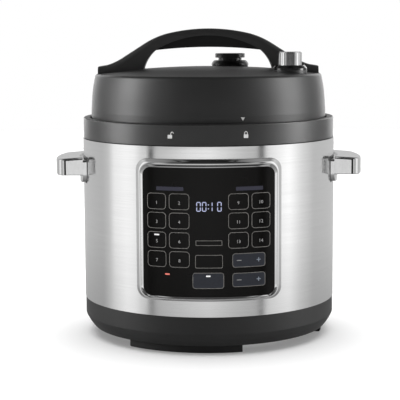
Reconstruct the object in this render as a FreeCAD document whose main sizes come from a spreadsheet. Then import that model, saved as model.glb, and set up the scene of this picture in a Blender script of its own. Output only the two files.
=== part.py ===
import FreeCAD, Part
import math
import os
import Sketcher

# Electric pressure cooker: millimetres, +Z up, front towards -Y.
# The origin is on the cooker's axis, at the level of the surface it stands on.

SIZES = {
    # black base tub, its cover and feet
    "base_radius": 139.5,
    "base_wall": 3.0,
    "base_bottom": 8.5,
    "base_taper_top": 22.5,
    "base_floor_radius": 130.5,
    "base_taper_bulge": 45.0,
    "base_opening": 100.0,
    "spigot_rise": 6.0,
    "spigot_gap": 0.3,
    "cover_radius": 108.0,
    "cover_sheet": 1.4,
    "cover_dish_radius": 84.0,
    "cover_dish_rise": 3.0,
    "vent_circle": 62.0,
    "vent_length": 22.0,
    "vent_width": 4.0,
    "screw_circle": 104.0,
    "screw_boss_radius": 4.0,
    "screw_boss_rise": 8.0,
    "screw_radius": 1.5,
    "screw_hole": 1.6,
    "screw_head": 3.2,
    "screw_head_rise": 1.8,
    "foot_inner": 117.0,
    "foot_outer": 127.0,
    "foot_sink": 1.5,
    "foot_span": 58.0,
    "foot_bevel": 1.2,
    # brushed steel wrap and the black collar above it
    "shell_radius": 140.0,
    "shell_wall": 0.8,
    "shell_bottom": 41.2,
    "shell_top": 218.5,
    "hem_width": 6.0,
    "ring_radius": 139.2,
    "ring_inner": 132.0,
    "ring_top": 241.3,
    "ring_ledge": 231.5,
    "ring_wall": 2.2,
    "ring_round": 1.2,
    "spout_width": 18.0,
    "spout_reach": 151.0,
    "spout_bottom": 215.5,
    "spout_top": 229.0,
    "spout_bore": 5.0,
    # steel can, bayonet ring and heating
    "can_inner": 117.0,
    "can_sheet": 1.0,
    "can_floor": 46.0,
    "can_opening": 88.0,
    "lock_outer": 136.2,
    "lock_wall": 2.0,
    "lock_lip": 132.5,
    "tab_inner": 125.5,
    "tab_bottom": 227.5,
    "tab_sheet": 3.0,
    "tab_span": 30.0,
    "plate_radius": 95.0,
    "plate_top": 55.0,
    "plate_hole": 17.5,
    "element_circle": 70.0,
    "element_radius": 4.0,
    "element_span": 320.0,
    "terminal_radius": 2.2,
    "terminal_end": 31.0,
    "standoff_circle": 111.0,
    "standoff_radius": 5.0,
    "holder_radius": 19.2,
    "holder_flange": 24.0,
    "holder_sheet": 1.2,
    "holder_floor": 30.0,
    "sensor_radius": 15.0,
    "sensor_crown": 6.0,
    "sensor_stem": 4.0,
    "stem_clearance": 0.06,
    "sensor_stem_end": 23.0,
    "spring_radius": 9.0,
    "spring_wire": 0.8,
    # switch, fuses and mains board in the tub
    "snap_y": -46.0,
    "snap_half": 12.0,
    "snap_tab_half": 10.0,
    "snap_depth": 6.0,
    "snap_sheet": 1.2,
    "snap_drop": 15.0,
    "snap_pin_drop": 20.0,
    "snap_pin_x": 7.5,
    "snap_pin_half": 1.5,
    "fuse_x": 40.0,
    "fuse_y": 24.0,
    "fuse_gap": 6.0,
    "fuse_half": 3.0,
    "fuse_half_length": 10.0,
    "fuse_drop": 6.0,
    "mains_x": -38.0,
    "mains_half_x": 24.0,
    "mains_half_y": 36.0,
    "mains_bottom": 17.0,
    "mains_sheet": 1.6,
    "spacer_inset": 4.0,
    "spacer_radius": 3.0,
    "relay_x": -48.0,
    "relay_y": -18.0,
    "relay_half_x": 10.0,
    "relay_half_y": 8.0,
    "relay_rise": 15.4,
    "core_x": -46.0,
    "core_y": 12.0,
    "core_half_x": 14.0,
    "core_half_y": 12.0,
    "core_lift": 2.4,
    "core_rise": 17.4,
    "bobbin_half_x": 10.0,
    "bobbin_half_y": 15.0,
    "bobbin_rise": 14.4,
    "capacitor_x": -27.0,
    "capacitor_y": -16.0,
    "capacitor_radius": 6.0,
    "capacitor_rise": 17.4,
    # inner pot and its seal
    "pot_inner": 110.0,
    "pot_wall": 1.2,
    "pot_corner": 16.0,
    "pot_rim_radius": 120.5,
    "pot_rim_bottom": 220.2,
    "gasket_outer": 119.5,
    "gasket_inner": 106.0,
    "gasket_top": 234.6,
    "gasket_lip": 2.4,
    "gasket_wall": 3.0,
    "rack_circle": 109.0,
    "rack_wire": 1.5,
    "rack_post_circle": 103.4,
    "rack_post": 2.0,
    "rack_height": 228.0,
    # lid
    "lid_radius": 130.4,
    "lid_bottom": 233.0,
    "lid_skirt_top": 248.5,
    "lid_waist_radius": 129.4,
    "lid_waist": 263.6,
    "lid_shoulder_radius": 126.0,
    "lid_shoulder": 285.5,
    "lid_top_edge": 289.1,
    "lid_top_radius": 122.8,
    "lid_top": 296.5,
    "lid_wall": 2.6,
    "side_bulge": 130.0,
    "edge_round": 4.0,
    "plate_sheet": 1.5,
    "lid_plate_bottom": 235.0,
    "lid_plate_radius": 124.0,
    "lug_radius": 131.5,
    "lug_bottom": 223.5,
    "lug_sheet": 3.0,
    "lug_span": 30.0,
    "lid_post_circle": 92.0,
    "lid_post": 5.0,
    "lid_screw": 1.8,
    "lid_screw_hole": 1.9,
    "lid_screw_length": 12.0,
    # arched lid handle
    "handle_half": 121.7,
    "handle_depth": 38.0,
    "handle_foot_top": 296.9,
    "handle_flare_x": 113.0,
    "handle_flare_z": 298.3,
    "handle_rise_x": 92.0,
    "handle_rise_z": 308.3,
    "handle_crown_x": 70.0,
    "handle_crown_z": 322.3,
    "handle_brow_x": 45.8,
    "handle_brow_z": 332.9,
    "handle_crown_bulge": 193.5,
    "handle_brow_bulge": 90.0,
    "handle_flare_bulge": 75.0,
    "handle_gap_half": 72.0,
    "handle_gap_foot": 291.5,
    "handle_gap_x": 58.0,
    "handle_gap_z": 314.8,
    "handle_gap_bulge": 40.0,
    "handle_under_bulge": 510.0,
    "grip_bulge": 114.0,
    "grip_setback": 1.5,
    "handle_round": 6.0,
    "handle_screw_x": 112.0,
    "handle_screw_y": 9.0,
    "handle_screw_seat": 287.1,
    "handle_screw_length": 5.5,
    "handle_screw_depth": 16.0,
    # valves on the lid
    "valve_x": 25.0,
    "valve_y": 37.0,
    "valve_pipe": 5.0,
    "valve_bore": 2.0,
    "valve_nut": 10.5,
    "valve_bottom": 296.6,
    "valve_foot_radius": 21.0,
    "valve_foot_top_radius": 17.8,
    "valve_foot_lip": 1.2,
    "valve_foot_bulge": 6.0,
    "valve_foot_top": 302.1,
    "valve_neck_radius": 13.3,
    "valve_neck_top": 305.3,
    "valve_disc_radius": 16.9,
    "valve_top": 310.1,
    "shield_radius": 17.0,
    "shield_bottom": 225.0,
    "dial_x": 88.5,
    "dial_y": -45.0,
    "dial_radius": 12.7,
    "dial_bottom": 295.9,
    "dial_top": 313.0,
    "dial_flute": 1.1,
    "dial_stem": 5.0,
    "collar_radius": 18.5,
    "collar_bottom": 293.4,
    "collar_top": 298.6,
    "collar_bore": 13.6,
    "seat_radius": 9.0,
    "seat_bore": 2.5,
    "seat_top": 250.0,
    "float_x": -30.0,
    "float_y": 38.0,
    "float_stem": 3.0,
    "float_head": 4.6,
    "float_bush": 6.0,
    "float_bush_top": 292.5,
    "float_bush_flange": 3.0,
    "float_bush_flange_rise": 2.5,
    "float_bottom": 224.6,
    "float_foot": 4.4,
    "float_foot_sheet": 1.0,
    "float_seal_radius": 5.4,
    "float_seal_rise": 2.0,
    # satin side handles
    "grab_reach": 171.0,
    "grab_half": 42.5,
    "grab_wall": 7.0,
    "grab_corner": 9.0,
    "grab_leg": 157.1,
    "grab_bow": 72.0,
    "grab_bottom": 179.0,
    "grab_top": 198.5,
    "grab_tip_top": 194.3,
    "grab_roof": 188.0,
    "grab_round": 2.4,
    "saddle_half": 42.5,
    "saddle_bottom": 171.0,
    "saddle_top": 196.0,
    "saddle_sheet": 4.0,
    "saddle_corner": 2.5,
    "saddle_low_corner": 9.0,
    "grab_screw": 2.0,
    "grab_screw_head": 3.6,
    "grab_screw_start": 129.5,
    "grab_screw_rise": 2.4,
    "grab_screw_end": 147.0,
    "grab_screw_depth": 148.0,
    # control panel
    "bezel_half": 75.6,
    "bezel_bottom": 58.0,
    "bezel_top": 205.9,
    "bezel_corner": 12.5,
    "bezel_rise": 3.4,
    "overlay_half": 68.5,
    "overlay_bottom": 62.7,
    "overlay_top": 197.2,
    "overlay_corner": 8.5,
    "overlay_rise": 1.6,
    "window_half": 64.0,
    "window_margin": 5.0,
    "tray_sheet": 3.0,
    "tray_half": 70.0,
    "board_y": -121.0,
    "board_sheet": 1.6,
    "board_half": 60.0,
    "board_bottom": 72.0,
    "board_top": 188.0,
    "switch_side": 6.0,
    "switch_rise": 4.3,
    "led_radius": 1.5,
    "led_rise": 4.0,
    "display_half": 18.0,
    "display_bottom": 148.0,
    "display_top": 167.0,
    "display_rise": 12.0,
    # power inlet and condensation cup at the back
    "inlet_half": 14.0,
    "inlet_bottom": 13.0,
    "inlet_top": 35.0,
    "inlet_back": 112.0,
    "inlet_face": 140.5,
    "socket_floor": 120.0,
    "socket_wall": 2.6,
    "socket_bevel": 5.0,
    "pin_end": 134.0,
    "pin_half_width": 1.0,
    "pin_half_height": 2.0,
    "pin_pitch": 7.0,
    "pin_earth_rise": 3.0,
    "pin_live_rise": -2.0,
    "rail_root": 126.0,
    "cup_half": 22.0,
    "cup_front": 142.5,
    "cup_back": 163.0,
    "cup_bottom": 173.0,
    "cup_top": 213.0,
    "cup_wall": 1.6,
    "cup_flange": 3.0,
    "cup_flange_sheet": 1.5,
    "rail_gap": 0.4,
    "rail_wall": 2.6,
    "rail_lip": 2.2,
}

LUG_COUNT = 5
FLUTE_COUNT = 30
VENT_COUNT = 18
SPRING_TURNS = 4
FOOT_ANGLES = {"foot_front": -103.0, "foot_right": 17.0, "foot_left": 137.0}
SCREW_ANGLES = (-43.0, 77.0, 197.0)
LID_POST_ANGLES = (60.0, 180.0, 300.0)
RACK_ANGLES = (0.0, 60.0, 120.0, 180.0, 240.0, 300.0)
SHIELD_SLOTS = 12

# Places on the control panel, (x, z) as seen from the front
KEY_COLUMNS = (30.5, 53.9)
KEY_ROWS_RIGHT = (162.1, 142.2, 121.9)
KEY_ROWS_LEFT = KEY_ROWS_RIGHT + (102.0,)
ROCKER_COLUMNS = (32.7, 49.9)
ROCKER_ROWS = (100.9, 80.4)
MIDDLE_KEYS = ((0.0, 100.2), (-0.8, 80.2))
LED_PLACES = ((-43.1, 86.3), (8.0, 84.9), (-53.7, 131.0))


class Size:
    """A number together with the sheet formula that gives it."""

    def __init__(self, value, formula):
        self.value = float(value)
        self.formula = formula

    def __add__(self, other):
        other = as_size(other)
        return Size(self.value + other.value, f"({self.formula} + {other.formula})")

    def __sub__(self, other):
        other = as_size(other)
        return Size(self.value - other.value, f"({self.formula} - {other.formula})")

    def __mul__(self, factor):
        return Size(self.value * factor, f"({self.formula} * {factor:.9f})")

    def __neg__(self):
        return self * -1.0


def as_size(number):
    """Sizes pass through, and a plain number becomes a constant size."""
    if isinstance(number, Size):
        return number
    return Size(number, f"({float(number):.6f})")


class Sheet:
    """Driving dimensions: each alias of the spreadsheet reads as an attribute."""

    def __init__(self, doc, sizes):
        self.cells = doc.addObject("Spreadsheet::Sheet", "dims")
        for row, (alias, value) in enumerate(sizes.items(), start=1):
            self.cells.set(f"A{row}", alias)
            self.cells.set(f"B{row}", str(value))
            self.cells.setAlias(f"B{row}", alias)
        self.sizes = sizes

    def __getattr__(self, alias):
        return Size(self.sizes[alias], f"dims.{alias}")


doc = FreeCAD.newDocument("pressure_cooker")
d = Sheet(doc, SIZES)
doc.recompute()
finished = []


def bind(item, path, size):
    """Tie a property of a document object to the sheet."""
    item.setExpression(path, as_size(size).formula)


def new_body(label):
    body = doc.addObject("PartDesign::Body", label)
    body.Label = label
    body.AllowCompound = True
    finished.append(body)
    return body


def origin_feature(body, role):
    for feature in body.Origin.OriginFeatures:
        if feature.Role == role:
            return feature
    raise ValueError(role)


def sketch_on(body, role, offset=0.0, turn=0.0):
    """Sketch on one of the body's origin planes, moved along its normal or turned about Z."""
    sketch = body.newObject("Sketcher::SketchObject", "Sketch")
    sketch.AttachmentSupport = [(origin_feature(body, role), "")]
    sketch.MapMode = "FlatFace"
    if turn:
        sketch.AttachmentOffset = FreeCAD.Placement(
            FreeCAD.Vector(), FreeCAD.Rotation(FreeCAD.Vector(0, 1, 0), turn)
        )
    bind(sketch, "AttachmentOffset.Base.z", offset)
    return sketch


def tie_point(sketch, index, position, x, y):
    """Fix one point of a sketch at coordinates that follow the sheet."""
    for kind, coordinate in (("DistanceX", as_size(x)), ("DistanceY", as_size(y))):
        rule = Sketcher.Constraint(kind, -1, 1, index, position, coordinate.value)
        number = sketch.addConstraint(rule)
        sketch.setExpression(f"Constraints[{number}]", coordinate.formula)


def arc_between(start, end, radius):
    """Arc of under a half circle from start to end, counter-clockwise for a positive radius."""
    chord = end - start
    across = FreeCAD.Vector(-chord.y, chord.x, 0).normalize()
    reach = math.sqrt(radius**2 - (chord.Length / 2) ** 2)
    side = math.copysign(1.0, radius)
    centre = (start + end) * 0.5 + across * (reach * side)
    circle = Part.Circle(centre, FreeCAD.Vector(0, 0, 1), abs(radius))
    if radius < 0:
        start, end = end, start
    first = math.atan2(start.y - centre.y, start.x - centre.x)
    last = math.atan2(end.y - centre.y, end.x - centre.x)
    if last < first:
        last += 2 * math.pi
    return Part.ArcOfCircle(circle, first, last)


def trace(sketch, corners):
    """Closed outline through corners (x, y) or (x, y, arc radius of the stretch that arrives there)."""
    spots = []
    for corner in corners:
        spots.append(FreeCAD.Vector(as_size(corner[0]).value, as_size(corner[1]).value, 0))
    stretches = []
    for number, corner in enumerate(corners):
        start = spots[number - 1]
        end = spots[number]
        if len(corner) == 3:
            radius = as_size(corner[2])
            index = sketch.addGeometry(arc_between(start, end, radius.value))
            ends = (1, 2) if radius.value > 0 else (2, 1)
            rule = sketch.addConstraint(Sketcher.Constraint("Radius", index, abs(radius.value)))
            sketch.setExpression(f"Constraints[{rule}]", f"abs({radius.formula})")
        else:
            index = sketch.addGeometry(Part.LineSegment(start, end))
            ends = (1, 2)
        stretches.append((index, *ends))
    for number, (index, _, last) in enumerate(stretches):
        following, first, _ = stretches[(number + 1) % len(stretches)]
        sketch.addConstraint(Sketcher.Constraint("Coincident", index, last, following, first))
        tie_point(sketch, index, last, corners[number][0], corners[number][1])


def rectangle(sketch, left, bottom, right, top):
    trace(sketch, [(left, bottom), (right, bottom), (right, top), (left, top)])


def rounded_rectangle(sketch, half, bottom, top, corner):
    """Rectangle about the sketch's vertical axis with four equal round corners."""
    trace(
        sketch,
        [
            (-half, bottom + corner),
            (-half + corner, bottom, corner),
            (half - corner, bottom),
            (half, bottom + corner, corner),
            (half, top - corner),
            (half - corner, top, corner),
            (-half + corner, top),
            (-half, top - corner, corner),
        ],
    )


def circle(sketch, x, y, radius):
    centre = FreeCAD.Vector(as_size(x).value, as_size(y).value, 0)
    round_edge = Part.Circle(centre, FreeCAD.Vector(0, 0, 1), as_size(radius).value)
    index = sketch.addGeometry(round_edge)
    tie_point(sketch, index, 3, x, y)
    rule = sketch.addConstraint(Sketcher.Constraint("Radius", index, as_size(radius).value))
    sketch.setExpression(f"Constraints[{rule}]", as_size(radius).formula)


def polar(radius, degrees):
    """Point on a bolt circle, measured from +X."""
    angle = math.radians(degrees)
    return as_size(radius) * math.cos(angle), as_size(radius) * math.sin(angle)


def finish_feature(body, feature, name):
    feature.Label = f"{body.Label}_{name}"
    body.Tip = feature
    doc.recompute()
    return feature


def revolve(body, corners, span=360.0, turn=0.0, cut=False):
    """Turn an outline of (radius, height) corners about the body's Z axis."""
    sketch = sketch_on(body, "XZ_Plane", turn=turn)
    trace(sketch, corners)
    kind = "PartDesign::Groove" if cut else "PartDesign::Revolution"
    feature = body.newObject(kind, "Groove" if cut else "Revolution")
    feature.Profile = sketch
    feature.ReferenceAxis = (sketch, ["V_Axis"])
    feature.Midplane = True
    bind(feature, "Angle", span)
    return finish_feature(body, feature, "groove" if cut else "turned")


def pad(body, sketch, length, midplane=False, backwards=False):
    feature = body.newObject("PartDesign::Pad", "Pad")
    feature.Profile = sketch
    feature.Midplane = midplane
    feature.Reversed = backwards
    bind(feature, "Length", length)
    return finish_feature(body, feature, "pad")


def pocket(body, sketch, length, midplane=False, backwards=False):
    """Cut along the sketch's normal, and make sure that something was cut."""
    before = body.Tip.Shape.Volume
    feature = body.newObject("PartDesign::Pocket", "Pocket")
    feature.Profile = sketch
    feature.Midplane = midplane
    feature.Reversed = backwards
    bind(feature, "Length", length)
    finish_feature(body, feature, "pocket")
    if feature.Shape.Volume > before - 0.01:
        raise ValueError(f"{body.Label}: a pocket cut nothing")
    return feature


def pattern(body, features, count):
    """Repeat features evenly about the body's Z axis."""
    feature = body.newObject("PartDesign::PolarPattern", "PolarPattern")
    feature.Originals = features
    feature.Axis = (origin_feature(body, "Z_Axis"), [""])
    feature.Angle = 360.0
    feature.Occurrences = count
    return finish_feature(body, feature, "pattern")


def round_edges(body, radius, chosen):
    """Fillet the edges of the body's last feature that the test picks out."""
    base = body.Tip
    names = []
    for number, edge in enumerate(base.Shape.Edges, start=1):
        if chosen(edge):
            names.append(f"Edge{number}")
    feature = body.newObject("PartDesign::Fillet", "Fillet")
    feature.Base = (base, names)
    bind(feature, "Radius", radius)
    return finish_feature(body, feature, "round")


def discs(body, centres, radius, bottom, height):
    """Upright cylinders of one radius at several places, as one pad."""
    sketch = sketch_on(body, "XY_Plane", bottom)
    for x, y in centres:
        circle(sketch, x, y, radius)
    return pad(body, sketch, height)


def bores(body, centres, radius, bottom, height):
    """Upright round holes, cut from bottom upwards."""
    sketch = sketch_on(body, "XY_Plane", bottom)
    for x, y in centres:
        circle(sketch, x, y, radius)
    return pocket(body, sketch, height, backwards=True)


def block(body, left, front, right, back, bottom, top):
    """Upright box from plan corners and two heights."""
    sketch = sketch_on(body, "XY_Plane", bottom)
    rectangle(sketch, left, front, right, back)
    return pad(body, sketch, as_size(top) - bottom)


def centred_block(body, x, y, half_x, half_y, bottom, top):
    """Upright box about a place in the plan."""
    return block(body, x - half_x, y - half_y, x + half_x, y + half_y, bottom, top)


def place(body, x, y):
    bind(body, "Placement.Base.x", x)
    bind(body, "Placement.Base.y", y)
    doc.recompute()


# Base tub, cover, feet


def base_housing():
    body = new_body("base_housing")
    spigot = d.shell_radius - d.shell_wall - d.spigot_gap
    inner = d.base_radius - d.base_wall
    floor_top = d.base_bottom + d.base_wall
    revolve(
        body,
        [
            (d.base_opening, d.base_bottom),
            (d.base_floor_radius, d.base_bottom),
            (d.base_radius, d.base_taper_top, d.base_taper_bulge),
            (d.base_radius, d.shell_bottom),
            (spigot, d.shell_bottom),
            (spigot, d.shell_bottom + d.spigot_rise),
            (inner, d.shell_bottom + d.spigot_rise),
            (inner, d.base_taper_top + 1.5),
            (d.base_floor_radius - 1.5, floor_top, -d.base_taper_bulge),
            (d.base_opening, floor_top),
        ],
    )
    for angle in FOOT_ANGLES.values():
        revolve(
            body,
            [
                (d.foot_inner, d.base_bottom - 1.0),
                (d.foot_outer, d.base_bottom - 1.0),
                (d.foot_outer, d.base_bottom + d.foot_sink),
                (d.foot_inner, d.base_bottom + d.foot_sink),
            ],
            span=d.foot_span,
            turn=angle,
            cut=True,
        )
    bosses = [polar(d.screw_circle, angle) for angle in SCREW_ANGLES]
    discs(body, bosses, d.screw_boss_radius, floor_top - 0.5, d.screw_boss_rise)
    bores(body, bosses, d.screw_hole, d.base_bottom - 1.0, d.screw_boss_rise)
    window = sketch_on(body, "XZ_Plane")
    rectangle(window, -d.inlet_half, d.inlet_bottom, d.inlet_half, d.inlet_top)
    pocket(body, window, d.base_radius + 20.0)


def bottom_cover():
    body = new_body("bottom_cover")
    under = d.base_bottom - d.cover_sheet
    slope = d.cover_dish_radius + d.cover_dish_rise
    revolve(
        body,
        [
            (0.0, under + d.cover_dish_rise),
            (d.cover_dish_radius, under + d.cover_dish_rise),
            (slope, under),
            (d.cover_radius, under),
            (d.cover_radius, d.base_bottom),
            (slope, d.base_bottom),
            (d.cover_dish_radius, d.base_bottom + d.cover_dish_rise),
            (0.0, d.base_bottom + d.cover_dish_rise),
        ],
    )
    slot = sketch_on(body, "XY_Plane", under)
    half = d.vent_width * 0.5
    near = d.vent_circle - d.vent_length * 0.5
    far = d.vent_circle + d.vent_length * 0.5
    bend = half + 0.001
    trace(
        slot,
        [
            (near, -half, bend),
            (far, -half),
            (far + half, 0.0, bend),
            (far, half, bend),
            (near, half),
            (near - half, 0.0, bend),
        ],
    )
    vent = pocket(body, slot, d.cover_dish_rise + 6.0, backwards=True)
    pattern(body, [vent], VENT_COUNT)
    bosses = [polar(d.screw_circle, angle) for angle in SCREW_ANGLES]
    bores(body, bosses, d.screw_hole, under - 1.0, 5.0)


def bottom_screws():
    body = new_body("bottom_screws")
    spots = [polar(d.screw_circle, angle) for angle in SCREW_ANGLES]
    under = d.base_bottom - d.cover_sheet
    discs(body, spots, d.screw_head, under - d.screw_head_rise, d.screw_head_rise)
    discs(body, spots, d.screw_radius, under - 0.5, d.screw_boss_rise)


def foot(label, angle):
    """Rubber arc let into the underside of the tub."""
    body = new_body(label)
    revolve(
        body,
        [
            (d.foot_inner + d.foot_bevel, 0.0),
            (d.foot_outer - d.foot_bevel, 0.0),
            (d.foot_outer, d.foot_bevel),
            (d.foot_outer, d.base_bottom + d.foot_sink),
            (d.foot_inner, d.base_bottom + d.foot_sink),
            (d.foot_inner, d.foot_bevel),
        ],
        span=d.foot_span,
        turn=angle,
    )


# Steel wrap, collar, can and bayonet ring


def outer_shell():
    body = new_body("outer_shell")
    inner = d.shell_radius - d.shell_wall
    hem = d.shell_radius - d.hem_width
    revolve(
        body,
        [
            (inner, d.shell_bottom),
            (d.shell_radius, d.shell_bottom),
            (d.shell_radius, d.shell_top),
            (hem, d.shell_top),
            (hem, d.shell_top - d.shell_wall),
            (inner, d.shell_top - d.shell_wall),
        ],
    )
    window = sketch_on(body, "XZ_Plane")
    rounded_rectangle(
        window,
        d.window_half,
        d.overlay_bottom + d.window_margin,
        d.overlay_top - d.window_margin,
        d.overlay_corner,
    )
    pocket(body, window, d.shell_radius + 20.0, backwards=True)
    holes = sketch_on(body, "YZ_Plane")
    for y in grab_screw_rows():
        circle(holes, y, grab_middle(), d.grab_screw)
    pocket(body, holes, d.shell_radius * 3.0, midplane=True)


def rim_ring():
    body = new_body("rim_ring")
    skirt = d.ring_radius - d.ring_wall
    revolve(
        body,
        [
            (skirt, d.shell_top),
            (d.ring_radius - 1.0, d.shell_top),
            (d.ring_radius, d.shell_top + 1.0),
            (d.ring_radius, d.ring_top - d.ring_round),
            (d.ring_radius - d.ring_round, d.ring_top, d.ring_round),
            (d.ring_inner + d.ring_round, d.ring_top),
            (d.ring_inner, d.ring_top - d.ring_round, d.ring_round),
            (d.ring_inner, d.ring_ledge),
            (skirt, d.ring_ledge),
        ],
    )
    half = d.spout_width * 0.5
    block(body, -half, d.ring_radius - 2.0, half, d.spout_reach, d.spout_bottom, d.spout_top)
    seat = sketch_on(body, "XY_Plane", d.spout_bottom - 1.0)
    circle(seat, 0.0, 0.0, d.shell_radius)
    pocket(body, seat, d.shell_top - d.spout_bottom + 1.0, backwards=True)
    channel = sketch_on(body, "XY_Plane", d.spout_bottom - 1.0)
    circle(channel, 0.0, d.spout_reach - d.spout_bore * 1.1, d.spout_bore * 0.8)
    pocket(body, channel, d.spout_top - d.spout_bottom - 1.0, backwards=True)


def outer_pot():
    """Deep-drawn steel can: its rim lies on the hem of the wrap, its floor carries the heating plate."""
    body = new_body("outer_pot")
    outer = d.can_inner + d.can_sheet
    revolve(
        body,
        [
            (d.can_opening, d.can_floor),
            (outer, d.can_floor),
            (outer, d.shell_top),
            (d.lock_outer, d.shell_top),
            (d.lock_outer, d.shell_top + d.can_sheet),
            (d.can_inner, d.shell_top + d.can_sheet),
            (d.can_inner, d.can_floor + d.can_sheet),
            (d.can_opening, d.can_floor + d.can_sheet),
        ],
    )


def lock_ring():
    """Steel ring whose inward tabs hold the lid's lugs down."""
    body = new_body("lock_ring")
    top = d.tab_bottom + d.tab_sheet
    revolve(
        body,
        [
            (d.lock_outer - d.lock_wall, d.shell_top + d.can_sheet),
            (d.lock_outer, d.shell_top + d.can_sheet),
            (d.lock_outer, top),
            (d.lock_lip, top),
            (d.lock_lip, d.tab_bottom),
            (d.lock_outer - d.lock_wall, d.tab_bottom),
        ],
    )
    tab = revolve(
        body,
        [
            (d.tab_inner, d.tab_bottom),
            (d.lock_lip + 1.0, d.tab_bottom),
            (d.lock_lip + 1.0, top),
            (d.tab_inner, top),
        ],
        span=d.tab_span,
        turn=-90.0,
    )
    pattern(body, [tab], LUG_COUNT)


def can_standoffs():
    body = new_body("can_standoffs")
    spots = [polar(d.standoff_circle, angle) for angle in FOOT_ANGLES.values()]
    bottom = d.base_bottom + d.base_wall
    discs(body, spots, d.standoff_radius, bottom, d.can_floor - bottom)


# Heating and sensing


def heating_plate():
    """Cast aluminium plate with a groove underneath for the tubular element."""
    body = new_body("heating_plate")
    bottom = d.can_floor + d.can_sheet
    revolve(
        body,
        [
            (d.plate_hole, bottom),
            (d.element_circle - d.element_radius, bottom),
            (d.element_circle, bottom + d.element_radius, -d.element_radius - 0.001),
            (d.element_circle + d.element_radius, bottom, -d.element_radius - 0.001),
            (d.plate_radius, bottom),
            (d.plate_radius, d.plate_top - 1.5),
            (d.plate_radius - 1.5, d.plate_top),
            (d.plate_hole, d.plate_top),
        ],
    )


def heating_element():
    body = new_body("heating_element")
    bottom = d.can_floor + d.can_sheet
    tube = d.element_radius - 0.05
    sketch = sketch_on(body, "XZ_Plane", turn=-90.0)
    circle(sketch, d.element_circle, bottom, tube)
    feature = body.newObject("PartDesign::Revolution", "Revolution")
    feature.Profile = sketch
    feature.ReferenceAxis = (sketch, ["V_Axis"])
    feature.Midplane = True
    bind(feature, "Angle", d.element_span)
    finish_feature(body, feature, "tube")
    gap = (360.0 - SIZES["element_span"]) / 2.0 + 3.0
    ends = [polar(d.element_circle, 90.0 + gap), polar(d.element_circle, 90.0 - gap)]
    discs(body, ends, d.terminal_radius, d.terminal_end, bottom - d.terminal_end)


def sensor_holder():
    """Cup under the plate that guides the sensor and backs its spring."""
    body = new_body("sensor_holder")
    top = d.can_floor + d.can_sheet
    inner = d.holder_radius - d.holder_sheet
    bore = d.sensor_stem + d.stem_clearance
    revolve(
        body,
        [
            (bore, d.holder_floor),
            (d.holder_radius, d.holder_floor),
            (d.holder_radius, top - d.holder_sheet),
            (d.holder_flange, top - d.holder_sheet),
            (d.holder_flange, top),
            (inner, top),
            (inner, d.holder_floor + d.holder_sheet),
            (bore, d.holder_floor + d.holder_sheet),
        ],
    )


def coil_point(radius, rise, turns):
    """Place and heading on a helix after so many turns, with its foot at zero height."""
    angle = 2.0 * math.pi * turns
    spot = FreeCAD.Vector(radius * math.cos(angle), radius * math.sin(angle), rise * turns)
    heading = FreeCAD.Vector(-radius * math.sin(angle), radius * math.cos(angle), rise / (2.0 * math.pi))
    return spot, heading.normalize()


def tangent_arc(start, corner, end):
    """Arc from start to end that leaves and arrives along the two lines through the corner."""
    middle = (start + end) * 0.5
    half = (end - start).Length / 2.0
    height = (corner - middle).Length
    share = half * math.tan(math.atan2(height, half) / 2.0) / height
    return Part.Arc(start, middle + (corner - middle) * share, end).toShape()


def biarc(first, last):
    """Two arcs that join two places with their headings and run smoothly into each other."""
    start, away = first
    end, arriving = last
    span = end - start
    bend = 2.0 * (1.0 - away.dot(arriving))
    along = span.dot(away + arriving)
    reach = (math.sqrt(along**2 + bend * span.dot(span)) - along) / bend
    near = start + away * reach
    far = end - arriving * reach
    joint = (near + far) * 0.5
    return [tangent_arc(start, near, joint), tangent_arc(joint, far, end)]


def sensor_spring():
    """Coil between the holder's floor and the underside of the sensor, made of quarter turns."""
    low = d.holder_floor + d.holder_sheet + d.spring_wire
    high = d.plate_top - d.sensor_crown - d.spring_wire
    quarters = 4 * SPRING_TURNS
    pitch = (high - low).value / SPRING_TURNS
    spots = [coil_point(SIZES["spring_radius"], pitch, number / 4.0) for number in range(quarters + 1)]
    arcs = []
    for first, last in zip(spots, spots[1:]):
        arcs += biarc(first, last)
    section = Part.Circle(*spots[0], SIZES["spring_wire"])
    pipe = Part.BRepOffsetAPI.MakePipeShell(Part.Wire(arcs))
    pipe.add(Part.Wire(section.toShape()))
    pipe.build()
    pipe.makeSolid()
    spring = doc.addObject("Part::Feature", "sensor_spring")
    spring.Shape = pipe.shape()
    spring.Label = "sensor_spring"
    bind(spring, "Placement.Base.z", low)
    doc.recompute()
    finished.append(spring)


def sensor_button():
    body = new_body("sensor_button")
    under = d.plate_top - d.sensor_crown
    revolve(
        body,
        [
            (0.0, d.sensor_stem_end),
            (d.sensor_stem, d.sensor_stem_end),
            (d.sensor_stem, under),
            (d.sensor_radius, under),
            (d.sensor_radius, d.plate_top - 1.0),
            (d.sensor_radius - 1.0, d.plate_top),
            (0.0, d.plate_top),
        ],
    )


def pressure_switch():
    """Snap switch on a tab under the heating plate."""
    body = new_body("pressure_switch")
    top = d.can_floor + d.can_sheet
    middle = as_size(0.0)
    centred_block(body, middle, d.snap_y, d.snap_half, d.snap_tab_half, top - d.snap_sheet, top)
    centred_block(body, middle, d.snap_y, d.snap_half, d.snap_depth, top - d.snap_drop, top - 1.0)
    for x in (-d.snap_pin_x, d.snap_pin_x):
        pin_top = top - d.snap_drop + 0.5
        centred_block(body, x, d.snap_y, d.snap_pin_half, d.snap_sheet, top - d.snap_pin_drop, pin_top)


def thermal_fuses():
    """Two cut-outs clamped flat under the plate."""
    body = new_body("thermal_fuses")
    top = d.can_floor + d.can_sheet
    for x in (d.fuse_x - d.fuse_gap, d.fuse_x + d.fuse_gap):
        centred_block(body, x, d.fuse_y, d.fuse_half, d.fuse_half_length, top - d.fuse_drop, top)


# Electronics in the tub


def mains_top():
    return d.mains_bottom + d.mains_sheet


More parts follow.
